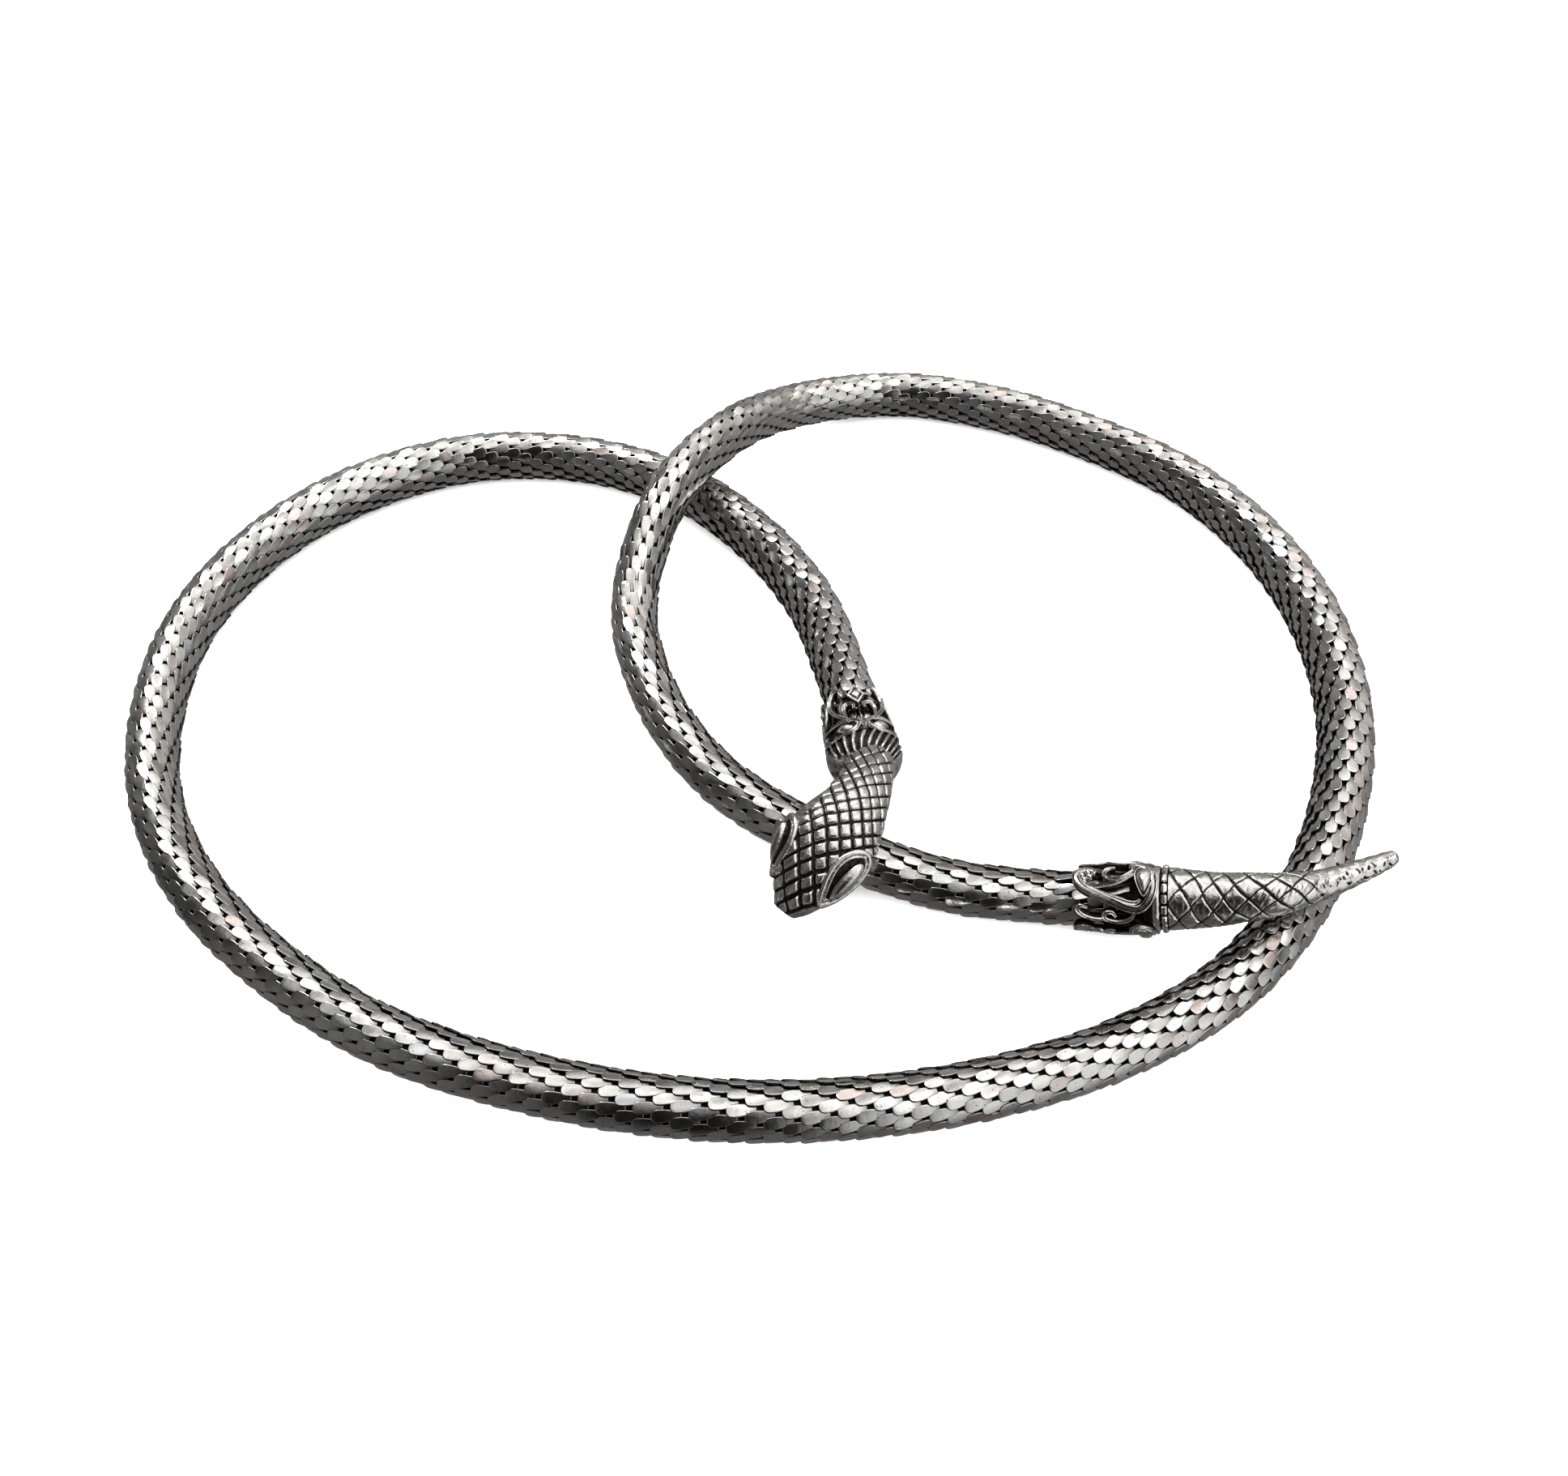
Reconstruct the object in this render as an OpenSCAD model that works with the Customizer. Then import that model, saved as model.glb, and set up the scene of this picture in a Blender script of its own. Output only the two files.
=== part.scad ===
// Snake belt: a tubular strand of scale mesh between a cast head and a cast tail.
// It lies on a flat surface at z = 0 in an open double loop, and its head rests over its own strand.
// X runs to the right and Y to the back. The origin is under the middle of the whole belt.

/* [Mesh] */
// Outer diameter of the mesh strand where its fullness is 1
mesh_d = 10; // [9.9:0.05:10]
// Thickness of the mesh wall
mesh_wall = 1.2; // [1:0.1:1.8]
// Sides of the mesh tube
mesh_sides = 12; // [12:4:16]

/* [Collars] */
// Gap between a collar and the mesh inside it
collar_gap = 0.15; // [0.1:0.05:0.2]
// Width of a scroll at its foot
scroll_w = 0.95; // [0.8:0.05:1.1]
// Number of flutes around the shoulder of the head's collar
flutes = 18; // [16:2:24]

/* [Head] */
// Lozenge scales around the neck and head
head_lozenges = 12; // [10:1:14]
// Height of the head's scales over the grooves
scale_h = 0.4; // [0.2:0.05:0.5]
// Height of an eye over the head
eye_h = 1.1; // [0.8:0.1:1.4]

/* [Hook] */
// Width of the hook's strip
hook_w = 4; // [3:0.5:5]
// Thickness of the hook's strip
hook_t = 1.2; // [1:0.1:1.3]

/* [Tail] */
// Lozenges around the tail
tail_lozenges = 10; // [8:1:12]
// Height of a lozenge over the grooves
lozenge_h = 0.25; // [0.15:0.05:0.3]
// Teeth of the beaded ring
beads = 24; // [18:2:30]

/* [Hidden] */
// Gap between two pieces that meet
gap = 0.1;
// Half a step along a curve, for its heading
half_step = 0.02;

// Points that the strand passes through, from the head's collar to the tail's.
// Columns: x, y, lift above lying flat, fullness as a share of mesh_d
route = [
    [20.1, -18.2, 2.3, 0.98],
    [18.85, -9.4, 1.93, 0.98],
    [17.3, -0.9, 1.47, 1],
    [11.4, 22.1, 0.2, 1.02],
    [-0.1, 42.6, 0, 1.02],
    [-17.1, 59.6, 0, 1],
    [-39.1, 68.6, 0, 0.98],
    [-62.6, 68.1, 0, 1.02],
    [-84.1, 57.6, 0, 1.04],
    [-100.1, 40.6, 0, 1.02],
    [-109.6, 18.6, 0, 1],
    [-111.1, -4.9, 0, 0.98],
    [-106.1, -28.4, 0, 0.94],
    [-94.1, -48.9, 0, 0.94],
    [-77.1, -65.4, 0, 0.94],
    [-57.1, -78.4, 0, 0.96],
    [-34.6, -86.4, 0, 0.96],
    [-11.1, -90.9, 0, 0.96],
    [12.4, -91.4, 0, 0.96],
    [36.4, -87.9, 0, 0.96],
    [58.9, -80.4, 0, 0.96],
    [78.9, -67.9, 0, 0.98],
    [94.4, -49.9, 0, 1],
    [104.9, -28.4, 0, 1.02],
    [110.4, -5.4, 0, 1.04],
    [109.9, 18.6, 0, 1.06],
    [103.4, 41.1, 0, 1.04],
    [90.9, 61.1, 0, 1],
    [72.4, 76.1, 0, 0.98],
    [51.4, 87.1, 0, 0.98],
    [28.4, 91.6, 0, 0.96],
    [7.4, 82.6, 3.4, 0.96],
    [-6.6, 64.1, 9.6, 0.96],
    [-18.1, 43.6, 9.4, 0.94],
    [-23.6, 22.1, 1.2, 0.92],
    [-18.6, -1.4, 0, 0.9],
    [-7.1, -21.9, 0, 0.92],
    [10.4, -37.9, 1.65, 0.92],
    [31.9, -47.4, 0.4, 0.92],
    [50, -50.2, 0.13, 0.92],
    [55.4, -51.25, 1.3, 0.92],
    [66.5, -53.4, 3.78, 0.92]
];
// Rings of the tube for each row of the route
rings_per_span = 2;
// Place on the route where the two halves of the mesh meet
mesh_split = 18;

// Neck and head, from the seam with the collar to the snout.
// Columns: x, y, z, half width, height above the middle line, depth below it, lean of the top
head_rows = [
    [20.3, -24.5, 9.6, 4.2, 4.1, 4.2, 1.2],
    [20, -27.4, 11, 4.3, 4.1, 4.2, 1],
    [19.5, -31.2, 12.6, 4.5, 4.1, 4.1, 0.6],
    [18.9, -34.9, 13.8, 4.9, 4, 3.8, 0.3],
    [17.6, -38.5, 14.5, 5.7, 4, 3.6, 0],
    [15.7, -41.9, 14.5, 7, 3.9, 3.6, 0],
    [13.8, -44.8, 13.7, 7.9, 3.8, 3.4, 0],
    [12, -47.3, 12.4, 8, 3.5, 3.1, 0],
    [10.3, -49.5, 10.9, 7.1, 3.1, 2.7, 0],
    [8.7, -51.5, 9.3, 5.6, 2.6, 2.2, 0],
    [7.2, -53.3, 7.8, 3.9, 1.9, 1.7, 0],
    [6, -54.6, 6.9, 2.2, 1.2, 1.2, 0]
];
head_rings = 24;
// Run of the pointed end beyond the last row
head_end = 0.5;
// The scales are raised within this angle from the top, and plain below it
head_scale_span = 105;
// Inset of a raised corner, as a share of the way to the opposite one
scale_inset = 0.2;

// Tail, from the beaded ring to the tip. Columns: x, y, z, radius
tail_table = [
    [70.13, -54.1, 9.19, 5.1],
    [76.9, -55.4, 10.7, 4.4],
    [81.9, -56.3, 12.6, 3.85],
    [85.9, -56.7, 13.7, 3.4],
    [89.9, -55.9, 13.8, 2.85],
    [93.9, -54.6, 13.4, 2.4],
    [97.9, -53.15, 13.5, 2.05],
    [101.9, -51.6, 13.8, 1.7],
    [104.9, -50.4, 14.1, 1.4],
    [106.9, -49.5, 14.3, 1.1]
];
tail_rows = [for (row = tail_table) [row[0], row[1], row[2], row[3], row[3], row[3], 0]];
tail_rings = 19;
tail_end = 0.9;
// The scales at the tip are worn to this number of plain rings
worn_rings = 7;
// The tail's scales are raised all around, up to any angle from the top
tail_scale_span = 181;
tail_scale_inset = 0.15;

// Head collar: a point on its axis under the scroll tips, and a point further along
head_axis_a = [18.5, -7.4, 6.75];
head_axis_b = [19.9, -16.9, 7.15];
// Outer radius along the head's collar
head_radius = [[-1, 5.9], [2, 5.95], [6, 6.35], [10, 6.6], [14, 6.9]];
// Tail collar: a point on its axis at the scroll tips, and the middle of its end
tail_axis_a = [54.9, -51.15, 5.8];
tail_axis_b = [68.6, -53.8, 8.85];
tail_radius = [[-1, 5.4], [2, 5.7], [6, 6.2], [11, 6.3], [14, 5.9]];
lobes = 3;

// Scrolls of one lobe, drawn on the unrolled sleeve: across from its middle line, along from its tip
head_c = [[1.2, 2.9], [2.9, 2.3], [3, 1.1], [4.1, 0.3], [5.6, 1.7], [5.9, 4.2], [4.7, 6.8], [2.7, 9.2], [2.2, 10.4]];
head_curl = [[1.1, 7], [1, 5.7], [2.2, 5.4], [2.9, 6.8], [2.5, 9.6]];
head_leaf = [[6.6, 10], [4, 9.5], [1.7, 9.7], [0.8, 11], [2.2, 12.6], [6.6, 13.6]];
head_stone = [0, 3.2, 1.7, 2.5];
head_drop = [3.6, 11.2, 2.9, 1.7];
head_bead = [3, 2.3, 0.7];
tail_c = [[2.3, 3.4], [2.5, 2], [1.2, 1], [0.4, 2.4], [2, 4.6], [4.4, 7.8], [5.6, 10.6], [4.6, 13], [2, 13.8]];
tail_branch = [[0, 11.2], [0.4, 8.6], [1.3, 6.6], [2.6, 6]];
tail_stone = [0, 12, 1.6, 1.9];
tail_bead = [2.3, 3, 0.8];
// Turn of the tail collar's first lobe from the top towards the near side
tail_lobe_turn = 15;
// How far the lobes under the head's collar fall short of the top one
head_squash = 0.18;
// Height of a curl over its scroll, and of a stone over the scrolls beside it
curl_rise = 0.12;
stone_rise = 0.45;
// The tail collar's gap is this much wider than the head collar's
tail_extra_gap = 0.05;
// Stops along each kind of scroll
c_steps = 11;
curl_steps = 6;
leaf_steps = 8;
branch_steps = 4;
// Share of a scroll's width at its top, and of a stone's
scroll_top = 0.55;
stone_top = 0.5;
// Radius at which the drawings are unrolled
unroll_r = 6.2;

function unit(v) = v / norm(v);
function side_of(t) = unit(cross(t, [0, 0, 1]));
function up_of(t) = cross(side_of(t), t);

// A smooth curve through the rows of a table, at place u counted in rows
function curve(rows, u) =
    let (last = len(rows) - 1,
         i = max(0, min(floor(u), last - 1)),
         t = u - i,
         a = i > 0 ? rows[i - 1] : 2 * rows[0] - rows[1],
         b = rows[i],
         c = rows[i + 1],
         d = i < last - 1 ? rows[i + 2] : 2 * rows[last] - rows[last - 1])
    0.5 * (2 * b + (c - a) * t + (2 * a - 5 * b + 4 * c - d) * t * t + (3 * b - a - 3 * c + d) * t * t * t);

// Faces between two rings of n points each, the first at index from and the next at index to
function band(from, to, n) =
    [for (k = [0 : n - 1]) [from + k, from + (k + 1) % n, to + (k + 1) % n, to + k]];

// The same faces seen from their other side
function turned(faces) = [for (f = faces) [for (k = [len(f) - 1 : -1 : 0]) f[k]]];

// Mesh strand
function strand_radius(u) = mesh_d / 2 * curve(route, u)[3];
function strand_middle(u) =
    let (row = curve(route, u))
    [row[0], row[1], max(0, row[2]) + strand_radius(u)];
function strand_heading(u) = unit(strand_middle(u + half_step) - strand_middle(u - half_step));

function strand_ring(u, shift, radius) =
    let (t = strand_heading(u), s = side_of(t), w = up_of(t), middle = strand_middle(u) + shift * t)
    [for (k = [0 : mesh_sides - 1])
        let (a = -90 + 360 * k / mesh_sides)
        middle + radius * (cos(a) * s + sin(a) * w)];

module strand(first, last, shift_first, shift_last) {
    count = (last - first) * rings_per_span;
    stops = [for (k = [0 : count]) first + k / rings_per_span];
    shifts = [for (k = [0 : count]) k == 0 ? shift_first : k == count ? shift_last : 0];
    outer = [for (k = [0 : count]) each strand_ring(stops[k], shifts[k], strand_radius(stops[k]))];
    inner = [for (k = [0 : count]) each strand_ring(stops[k], shifts[k], strand_radius(stops[k]) - mesh_wall)];
    n = mesh_sides;
    half = len(outer);
    faces = [
        for (k = [0 : count - 1]) each band(k * n, (k + 1) * n, n),
        for (k = [0 : count - 1]) each band(half + (k + 1) * n, half + k * n, n),
        each band(half, 0, n),
        each band(count * n, half + count * n, n)
    ];
    polyhedron(points = concat(outer, inner), faces = faces, convexity = 20);
}

module mesh_head_side() {
    color([0.72, 0.72, 0.73]) strand(0, mesh_split, 0, -gap / 2);
}

module mesh_tail_side() {
    color([0.66, 0.66, 0.68]) strand(mesh_split, len(route) - 1, gap / 2, 0);
}

// Castings: the middle line of a table of rows, and a point of the surface at row u, angle a from its top
function cast_middle(rows, u) = let (row = curve(rows, u)) [row[0], row[1], row[2]];
function cast_heading(rows, u) = 
    unit(cast_middle(rows, u + half_step) - cast_middle(rows, u - half_step));
function cast_point(rows, u, a) =
    let (row = curve(rows, u), t = cast_heading(rows, u), s = side_of(t), w = up_of(t),
         h = cos(a) > 0 ? row[4] : row[5], b = atan2(sin(a) * sqrt(h), cos(a) * sqrt(row[3])))
    cast_middle(rows, u) + s * row[3] * sin(b) + w * h * cos(b) + t * row[6] * max(0, cos(b));

// The four raised corners of the scale that fills the quad p0, p1, p2, p3
function raised(p, inset, height) =
    let (middle = (p[0] + p[1] + p[2] + p[3]) / 4, n = unit(cross(p[2] - p[0], p[3] - p[1])))
    [for (q = p) q + (middle - q) * 2 * inset + n * height];

// A cast body of lozenge scales. Each lozenge has its corners on three rings.
// The scales are raised within angle span of the top, and up to ring raised_rings
module cast_body(rows, n, rings, inset, height, span, raised_rings, end_length) {
    last = len(rows) - 1;
    base = [for (j = [0 : rings], k = [0 : n - 1]) cast_point(rows, last * j / rings, 360 * (k + (j % 2) / 2) / n)];
    cells = [for (j = [0 : rings - 2], k = [0 : n - 1])
        let (half = j % 2, turn = 360 * (k + half / 2) / n)
        [j * n + k,
         (j + 1) * n + (k + half) % n,
         (j + 2) * n + k,
         (j + 1) * n + (k + half + n - 1) % n,
         min(turn, 360 - turn) < span && j < raised_rings]];
    scales = [for (c = cells) if (c[4]) c];
    plains = [for (c = cells) if (!c[4]) c];
    tops = [for (c = scales) each raised([for (k = [0 : 3]) base[c[k]]], inset, height)];
    first_top = len(base);
    start = first_top + len(tops);
    end_point = cast_middle(rows, last) + cast_heading(rows, last) * end_length;
    odd = rings % 2;
    faces = [
        for (c = [0 : len(scales) - 1], k = [0 : 3])
            [scales[c][k], scales[c][(k + 1) % 4], first_top + 4 * c + (k + 1) % 4, first_top + 4 * c + k],
        for (c = [0 : len(scales) - 1]) [for (k = [0 : 3]) first_top + 4 * c + k],
        for (c = plains) each [[c[0], c[1], c[2]], [c[0], c[2], c[3]]],
        for (k = [0 : n - 1]) [k, (k + 1) % n, n + k],
        for (k = [0 : n - 1])
            let (far = rings * n + k, next = rings * n + (k + 1) % n)
            [far, (rings - 1) * n + (k + odd) % n, next],
        for (k = [0 : n - 1]) [rings * n + k, rings * n + (k + 1) % n, start + 1],
        for (k = [0 : n - 1]) [(k + 1) % n, k, start]
    ];
    polyhedron(points = concat(base, tops, [cast_middle(rows, 0), end_point]), faces = turned(faces), convexity = 6);
}

// An eye: a marquise dome in a raised rim, along the edge of the head. Columns: row, angle from the top
eye_back = [5.4, 84];
eye_front = [9.4, 70];
eye_middle = [7.5, 62];
eye_w = 2.6;
// The rim is a row of bars from bead to bead on each side
rim_r = 0.5;
rim_steps = 8;
// Stops along the dome, its half width as a share of the eye's, and its depth under the surface
dome_stops = [0.12, 0.3, 0.5, 0.7, 0.88];
dome_edge = 0.8;
dome_depth = 0.3;

function skin_point(place) = cast_point(head_rows, place[0], place[1]);

bead_sides = 5;

module bead(p, r) {
    translate(p) sphere(r, $fn = bead_sides);
}

// The convex solid of a list of points
module solid_of(points) {
    hull() polyhedron(points = points, faces = [[for (k = [0 : len(points) - 1]) k]]);
}

module eye(hand) {
    back = skin_point([eye_back[0], hand * eye_back[1]]);
    front = skin_point([eye_front[0], hand * eye_front[1]]);
    middle = skin_point([eye_middle[0], hand * eye_middle[1]]);
    along = unit(front - back);
    out = unit(middle - cast_middle(head_rows, eye_middle[0]));
    n = unit(out - along * (out * along));
    across = cross(n, along);
    // Points of the eye at share t of its length, q across it and h above the head
    function place(t, q, h) =
        (1 - t) * (1 - t) * back + 2 * t * (1 - t) * (2 * middle - (front + back) / 2) + t * t * front
            + across * q * eye_w * 4 * t * (1 - t) + n * h;
    for (edge = [-1, 1], k = [0 : rim_steps - 1])
        hull() {
            bead(place(k / rim_steps, edge, 0), rim_r);
            bead(place((k + 1) / rim_steps, edge, 0), rim_r);
        }
    solid_of([
        for (t = dome_stops, q = [-dome_edge, 0, dome_edge]) place(t, q, (1 - q * q) * eye_h * 4 * t * (1 - t)),
        for (t = dome_stops, q = [-dome_edge, dome_edge]) place(t, q, -dome_depth)
    ]);
}

module head() {
    color([0.70, 0.69, 0.67]) {
        cast_body(head_rows, head_lozenges, head_rings, scale_inset, scale_h, head_scale_span, head_rings, head_end);
        eye(1);
        eye(-1);
    }
}

// Hidden hook: a strip that goes down before the strand, back under it and up a little behind it.
// hook_r is half the space inside it, hook_top and hook_tip the heights of its two ends
hook_place = [15.5, -40.85, 0];
hook_turn = 243;
hook_r = 4.9;
hook_top = 9.4;
hook_tip = 2.9;
hook_corner = 2.6;
corner_steps = 6;

function arc(cx, r, from, to) =
    [for (k = [0 : corner_steps]) let (a = from + (to - from) * k / corner_steps)
        [cx + r * cos(a), hook_corner + r * sin(a)]];

module head_hook() {
    inner_corner = hook_corner - hook_t;
    outer_x = hook_r + hook_t;
    corner_x = outer_x - hook_corner;
    outline = concat(
        [[-hook_r, hook_tip], [-outer_x, hook_tip]],
        arc(-corner_x, hook_corner, 180, 270),
        arc(corner_x, hook_corner, 270, 360),
        [[outer_x, hook_top], [hook_r, hook_top]],
        arc(corner_x, inner_corner, 360, 270),
        arc(-corner_x, inner_corner, 270, 180)
    );
    color([0.6, 0.6, 0.6])
        translate(hook_place)
            rotate([90, 0, hook_turn])
                translate([0, 0, -hook_w / 2])
                    linear_extrude(hook_w) polygon(outline);
}

// A sleeve's frame: its heading, its side and its top
function frame_of(a, b) = let (t = unit(b - a)) [a, t, side_of(t), up_of(t)];

// A point of a sleeve: across and along as drawn, at radius r, for a lobe turned by angle turn.
// The lobes below the top one are shortened by squash
function sleeve_point(frame, across, along, r, turn, squash) =
    let (a = turn + across / unroll_r * 180 / PI, v = along * (1 - squash * (1 - max(0, cos(a)))))
    frame[0] + frame[1] * v + r * (sin(a) * frame[2] + cos(a) * frame[3]);

// One scroll: a bar with a narrower top that follows a drawn path around the sleeve
module scroll(frame, path, steps, hand, turn, squash, inner_r, radius, rise) {
    last = len(path) - 1;
    stops = [for (k = [0 : steps]) last * k / steps];
    rows = [for (u = stops)
        let (p = curve(path, u),
             d = unit(curve(path, u + half_step) - curve(path, u - half_step)),
             n = [-d[1], d[0]] * scroll_w / 2,
             r = lookup(p[1], radius) + rise,
             corners = [[p + n, inner_r], [p - n, inner_r], [p - scroll_top * n, r], [p + scroll_top * n, r]])
        [for (c = corners) sleeve_point(frame, hand * c[0][0], c[0][1], c[1], turn, squash)]];
    points = [for (r = rows) each r];
    sides = [for (k = [0 : steps - 1]) each band(4 * k, 4 * (k + 1), 4)];
    ends = [[3, 2, 1, 0], [for (k = [0 : 3]) 4 * steps + k]];
    faces = concat(sides, ends);
    polyhedron(points = points, faces = hand > 0 ? faces : turned(faces));
}

// A raised lozenge or drop in the scrollwork. Columns of at: across, along, half width, half length
module stone(frame, at, turn, squash, inner_r, radius, rise) {
    r = lookup(at[1], radius);
    // The inner corners lie further out than inner_r, so that the flat between them clears it
    inner = inner_r / cos(at[2] / unroll_r * 180 / PI);
    levels = [[1, inner], [1, r], [stone_top, r + rise]];
    solid_of([for (level = levels, q = [[1, 0], [0, 1], [-1, 0], [0, -1]])
        sleeve_point(frame, at[0] + q[0] * at[2] * level[0], at[1] + q[1] * at[3] * level[0], level[1], turn, squash)]);
}

// The bead at the curled end of a scroll. Columns of at: across, along, radius
module curl_end(frame, at, hand, turn, squash, r) {
    hull() bead(sleeve_point(frame, hand * at[0], at[1], r, turn, squash), at[2]);
}

// The shoulder of the head's collar: a smooth band, then flutes that close onto the seam with the neck
shoulder_rows = [[12.2, 6.5], [13, 6.9], [14, 6.95]];
shoulder_steps = 4;
swell = 1.3;
flute_h = 0.22;
shoulder_inside = [13.6, 12.2];

module shoulder(frame, squash, inner_r) {
    n = 2 * flutes;
    seam_t = cast_heading(head_rows, 0);
    start = frame[0] + frame[1] * shoulder_rows[0][0];
    rings = [for (row = shoulder_rows) each
        [for (k = [0 : n - 1]) sleeve_point(frame, 0, row[0], row[1], 360 * k / n, squash)]];
    rim = [for (k = [0 : n - 1]) rings[(len(shoulder_rows) - 1) * n + k]];
    seam = [for (k = [0 : n - 1]) cast_point(head_rows, 0, 360 * k / n) - gap * seam_t];
    flutes_at = [for (j = [1 : shoulder_steps], k = [0 : n - 1])
        let (t = j / shoulder_steps, bow = sin(180 * t), flute = (k % 2 == 0 ? 1 : -1) * flute_h)
        rim[k] * (1 - t) + seam[k] * t + (swell + flute) * bow * unit(rim[k] - start)];
    inside = [for (v = shoulder_inside, k = [0 : n - 1]) sleeve_point(frame, 0, v, inner_r, 360 * k / n, squash)];
    middles = [cast_middle(head_rows, 0) - gap * seam_t, frame[0] + frame[1] * shoulder_inside[0] * (1 - squash)];
    points = concat(rings, flutes_at, inside, middles);
    outer = len(shoulder_rows) + shoulder_steps;
    faces = [
        for (j = [0 : outer - 2]) each band(j * n, (j + 1) * n, n),
        for (k = [0 : n - 1]) [(outer - 1) * n + k, (outer - 1) * n + (k + 1) % n, (outer + 2) * n],
        for (k = [0 : n - 1]) [outer * n + (k + 1) % n, outer * n + k, (outer + 2) * n + 1],
        each band(outer * n, (outer + 1) * n, n),
        each band((outer + 1) * n, 0, n)
    ];
    polyhedron(points = points, faces = turned(faces), convexity = 4);
}

module head_collar() {
    frame = frame_of(head_axis_a, head_axis_b);
    inner_r = mesh_d / 2 + collar_gap;
    color([0.62, 0.61, 0.59]) {
        shoulder(frame, head_squash, inner_r);
        for (lobe = [0 : lobes - 1]) {
            turn = 360 * lobe / lobes;
            for (hand = [-1, 1]) {
                scroll(frame, head_c, c_steps, hand, turn, head_squash, inner_r, head_radius, 0);
                scroll(frame, head_curl, curl_steps, hand, turn, head_squash, inner_r, head_radius, curl_rise);
                scroll(frame, head_leaf, leaf_steps, hand, turn, head_squash, inner_r, head_radius, 0);
                curl_end(frame, head_bead, hand, turn, head_squash, inner_r + head_bead[2]);
                stone(frame, [hand * head_drop[0], head_drop[1], head_drop[2], head_drop[3]], turn, head_squash,
                      inner_r, head_radius, 0);
            }
            stone(frame, head_stone, turn, head_squash, inner_r, head_radius, stone_rise);
        }
    }
}

module tail_collar() {
    frame = frame_of(tail_axis_a, tail_axis_b);
    inner_r = mesh_d / 2 * route[len(route) - 1][3] + collar_gap + tail_extra_gap;
    color([0.62, 0.61, 0.59]) {
        for (lobe = [0 : lobes - 1]) {
            turn = tail_lobe_turn + 360 * lobe / lobes;
            for (hand = [-1, 1]) {
                scroll(frame, tail_c, c_steps, hand, turn, 0, inner_r, tail_radius, 0);
                scroll(frame, tail_branch, branch_steps, hand, turn, 0, inner_r, tail_radius, -curl_rise);
                curl_end(frame, tail_bead, hand, turn, 0, inner_r + tail_bead[2]);
            }
            stone(frame, tail_stone, turn, 0, inner_r, tail_radius, stone_rise);
        }
        tail_collar_end(frame, inner_r);
    }
}

// The closed ring at the end of the tail's collar. Columns: radius, along from the collar's end
tail_end_rows = [[5.5, -2], [5.8, -1.2], [5.3, 0], [3.9, 0], [3.9, -1.4]];
// The inner edge of that ring, along from the collar's end, where it meets the scrolls
tail_end_inside = [-1.6, -2];
tail_end_run = 0.3;
tail_end_sides = 20;

module tail_collar_end(frame, inner_r) {
    n = tail_end_sides;
    end_v = norm(tail_axis_b - tail_axis_a) + tail_end_run;
    rows = concat(tail_end_rows, [for (v = tail_end_inside) [inner_r, v]]);
    points = [for (row = rows, k = [0 : n - 1]) sleeve_point(frame, 0, end_v + row[1], row[0], 360 * k / n, 0)];
    faces = [for (j = [0 : len(rows) - 1]) each band(j * n, ((j + 1) % len(rows)) * n, n)];
    polyhedron(points = points, faces = turned(faces), convexity = 4);
}

// The beaded ring, a toothed ring along the collar's axis
ring_t = 1.1;
ring_outer = 5.7;
ring_valley = 5.35;
ring_hole = 4;
ring_hole_sides = 48;

module tail_ring() {
    t = frame_of(tail_axis_a, tail_axis_b)[1];
    start = norm(tail_axis_b - tail_axis_a) + tail_end_run + gap;
    color([0.68, 0.67, 0.65])
        translate(tail_axis_a + t * start)
            rotate([0, acos(t[2]), atan2(t[1], t[0])])
                linear_extrude(ring_t)
                    difference() {
                        polygon([for (k = [0 : 2 * beads - 1])
                            let (r = k % 2 == 0 ? ring_outer : ring_valley, a = 180 * k / beads) r * [cos(a), sin(a)]]);
                        circle(r = ring_hole, $fn = ring_hole_sides);
                    }
}

module tail() {
    color([0.70, 0.69, 0.67])
        cast_body(tail_rows, tail_lozenges, tail_rings, tail_scale_inset, lozenge_h, tail_scale_span,
                  tail_rings - worn_rings, tail_end);
}

mesh_head_side();
mesh_tail_side();
head_collar();
head();
head_hook();
tail_collar();
tail_ring();
tail();
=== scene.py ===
import math

import bpy
import numpy as np
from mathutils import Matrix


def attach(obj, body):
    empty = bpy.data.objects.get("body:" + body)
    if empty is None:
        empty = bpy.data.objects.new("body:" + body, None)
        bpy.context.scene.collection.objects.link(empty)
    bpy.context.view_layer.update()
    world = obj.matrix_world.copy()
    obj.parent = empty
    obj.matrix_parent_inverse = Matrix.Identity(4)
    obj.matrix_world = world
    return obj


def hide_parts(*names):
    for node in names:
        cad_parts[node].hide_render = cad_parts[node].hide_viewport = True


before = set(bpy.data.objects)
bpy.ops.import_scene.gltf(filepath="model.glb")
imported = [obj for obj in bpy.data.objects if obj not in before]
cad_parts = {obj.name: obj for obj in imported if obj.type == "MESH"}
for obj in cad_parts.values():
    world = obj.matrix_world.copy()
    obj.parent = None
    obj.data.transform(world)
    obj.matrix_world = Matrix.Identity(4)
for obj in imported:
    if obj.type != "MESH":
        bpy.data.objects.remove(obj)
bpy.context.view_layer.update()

# Sizes are in millimetres, and every piece is scaled to metres when its mesh is made. The floor, the
# lamp and the patterns of the materials are in metres.
MM = 0.001

# The camera, at the photograph's angle. Its focal length and the photo's middle are in photo pixels
CAMERA_AT = (5.9, -231.4, 240)
CAMERA_PITCH = 47.2
LENS = 40
SENSOR = 36
FOCAL = 2151.1
PHOTO_MIDDLE = (968, 911)

# The part's own sizes and tables, as in part.scad: the strand's radius, the gap in the collars and that
# between other pieces, the radius at which the collars are drawn, and where the mesh's halves meet
MESH_R = 5
COLLAR_GAP = 0.15
GAP = 0.1
UNROLL_R = 6.2
MESH_SPLIT = 18
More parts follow.
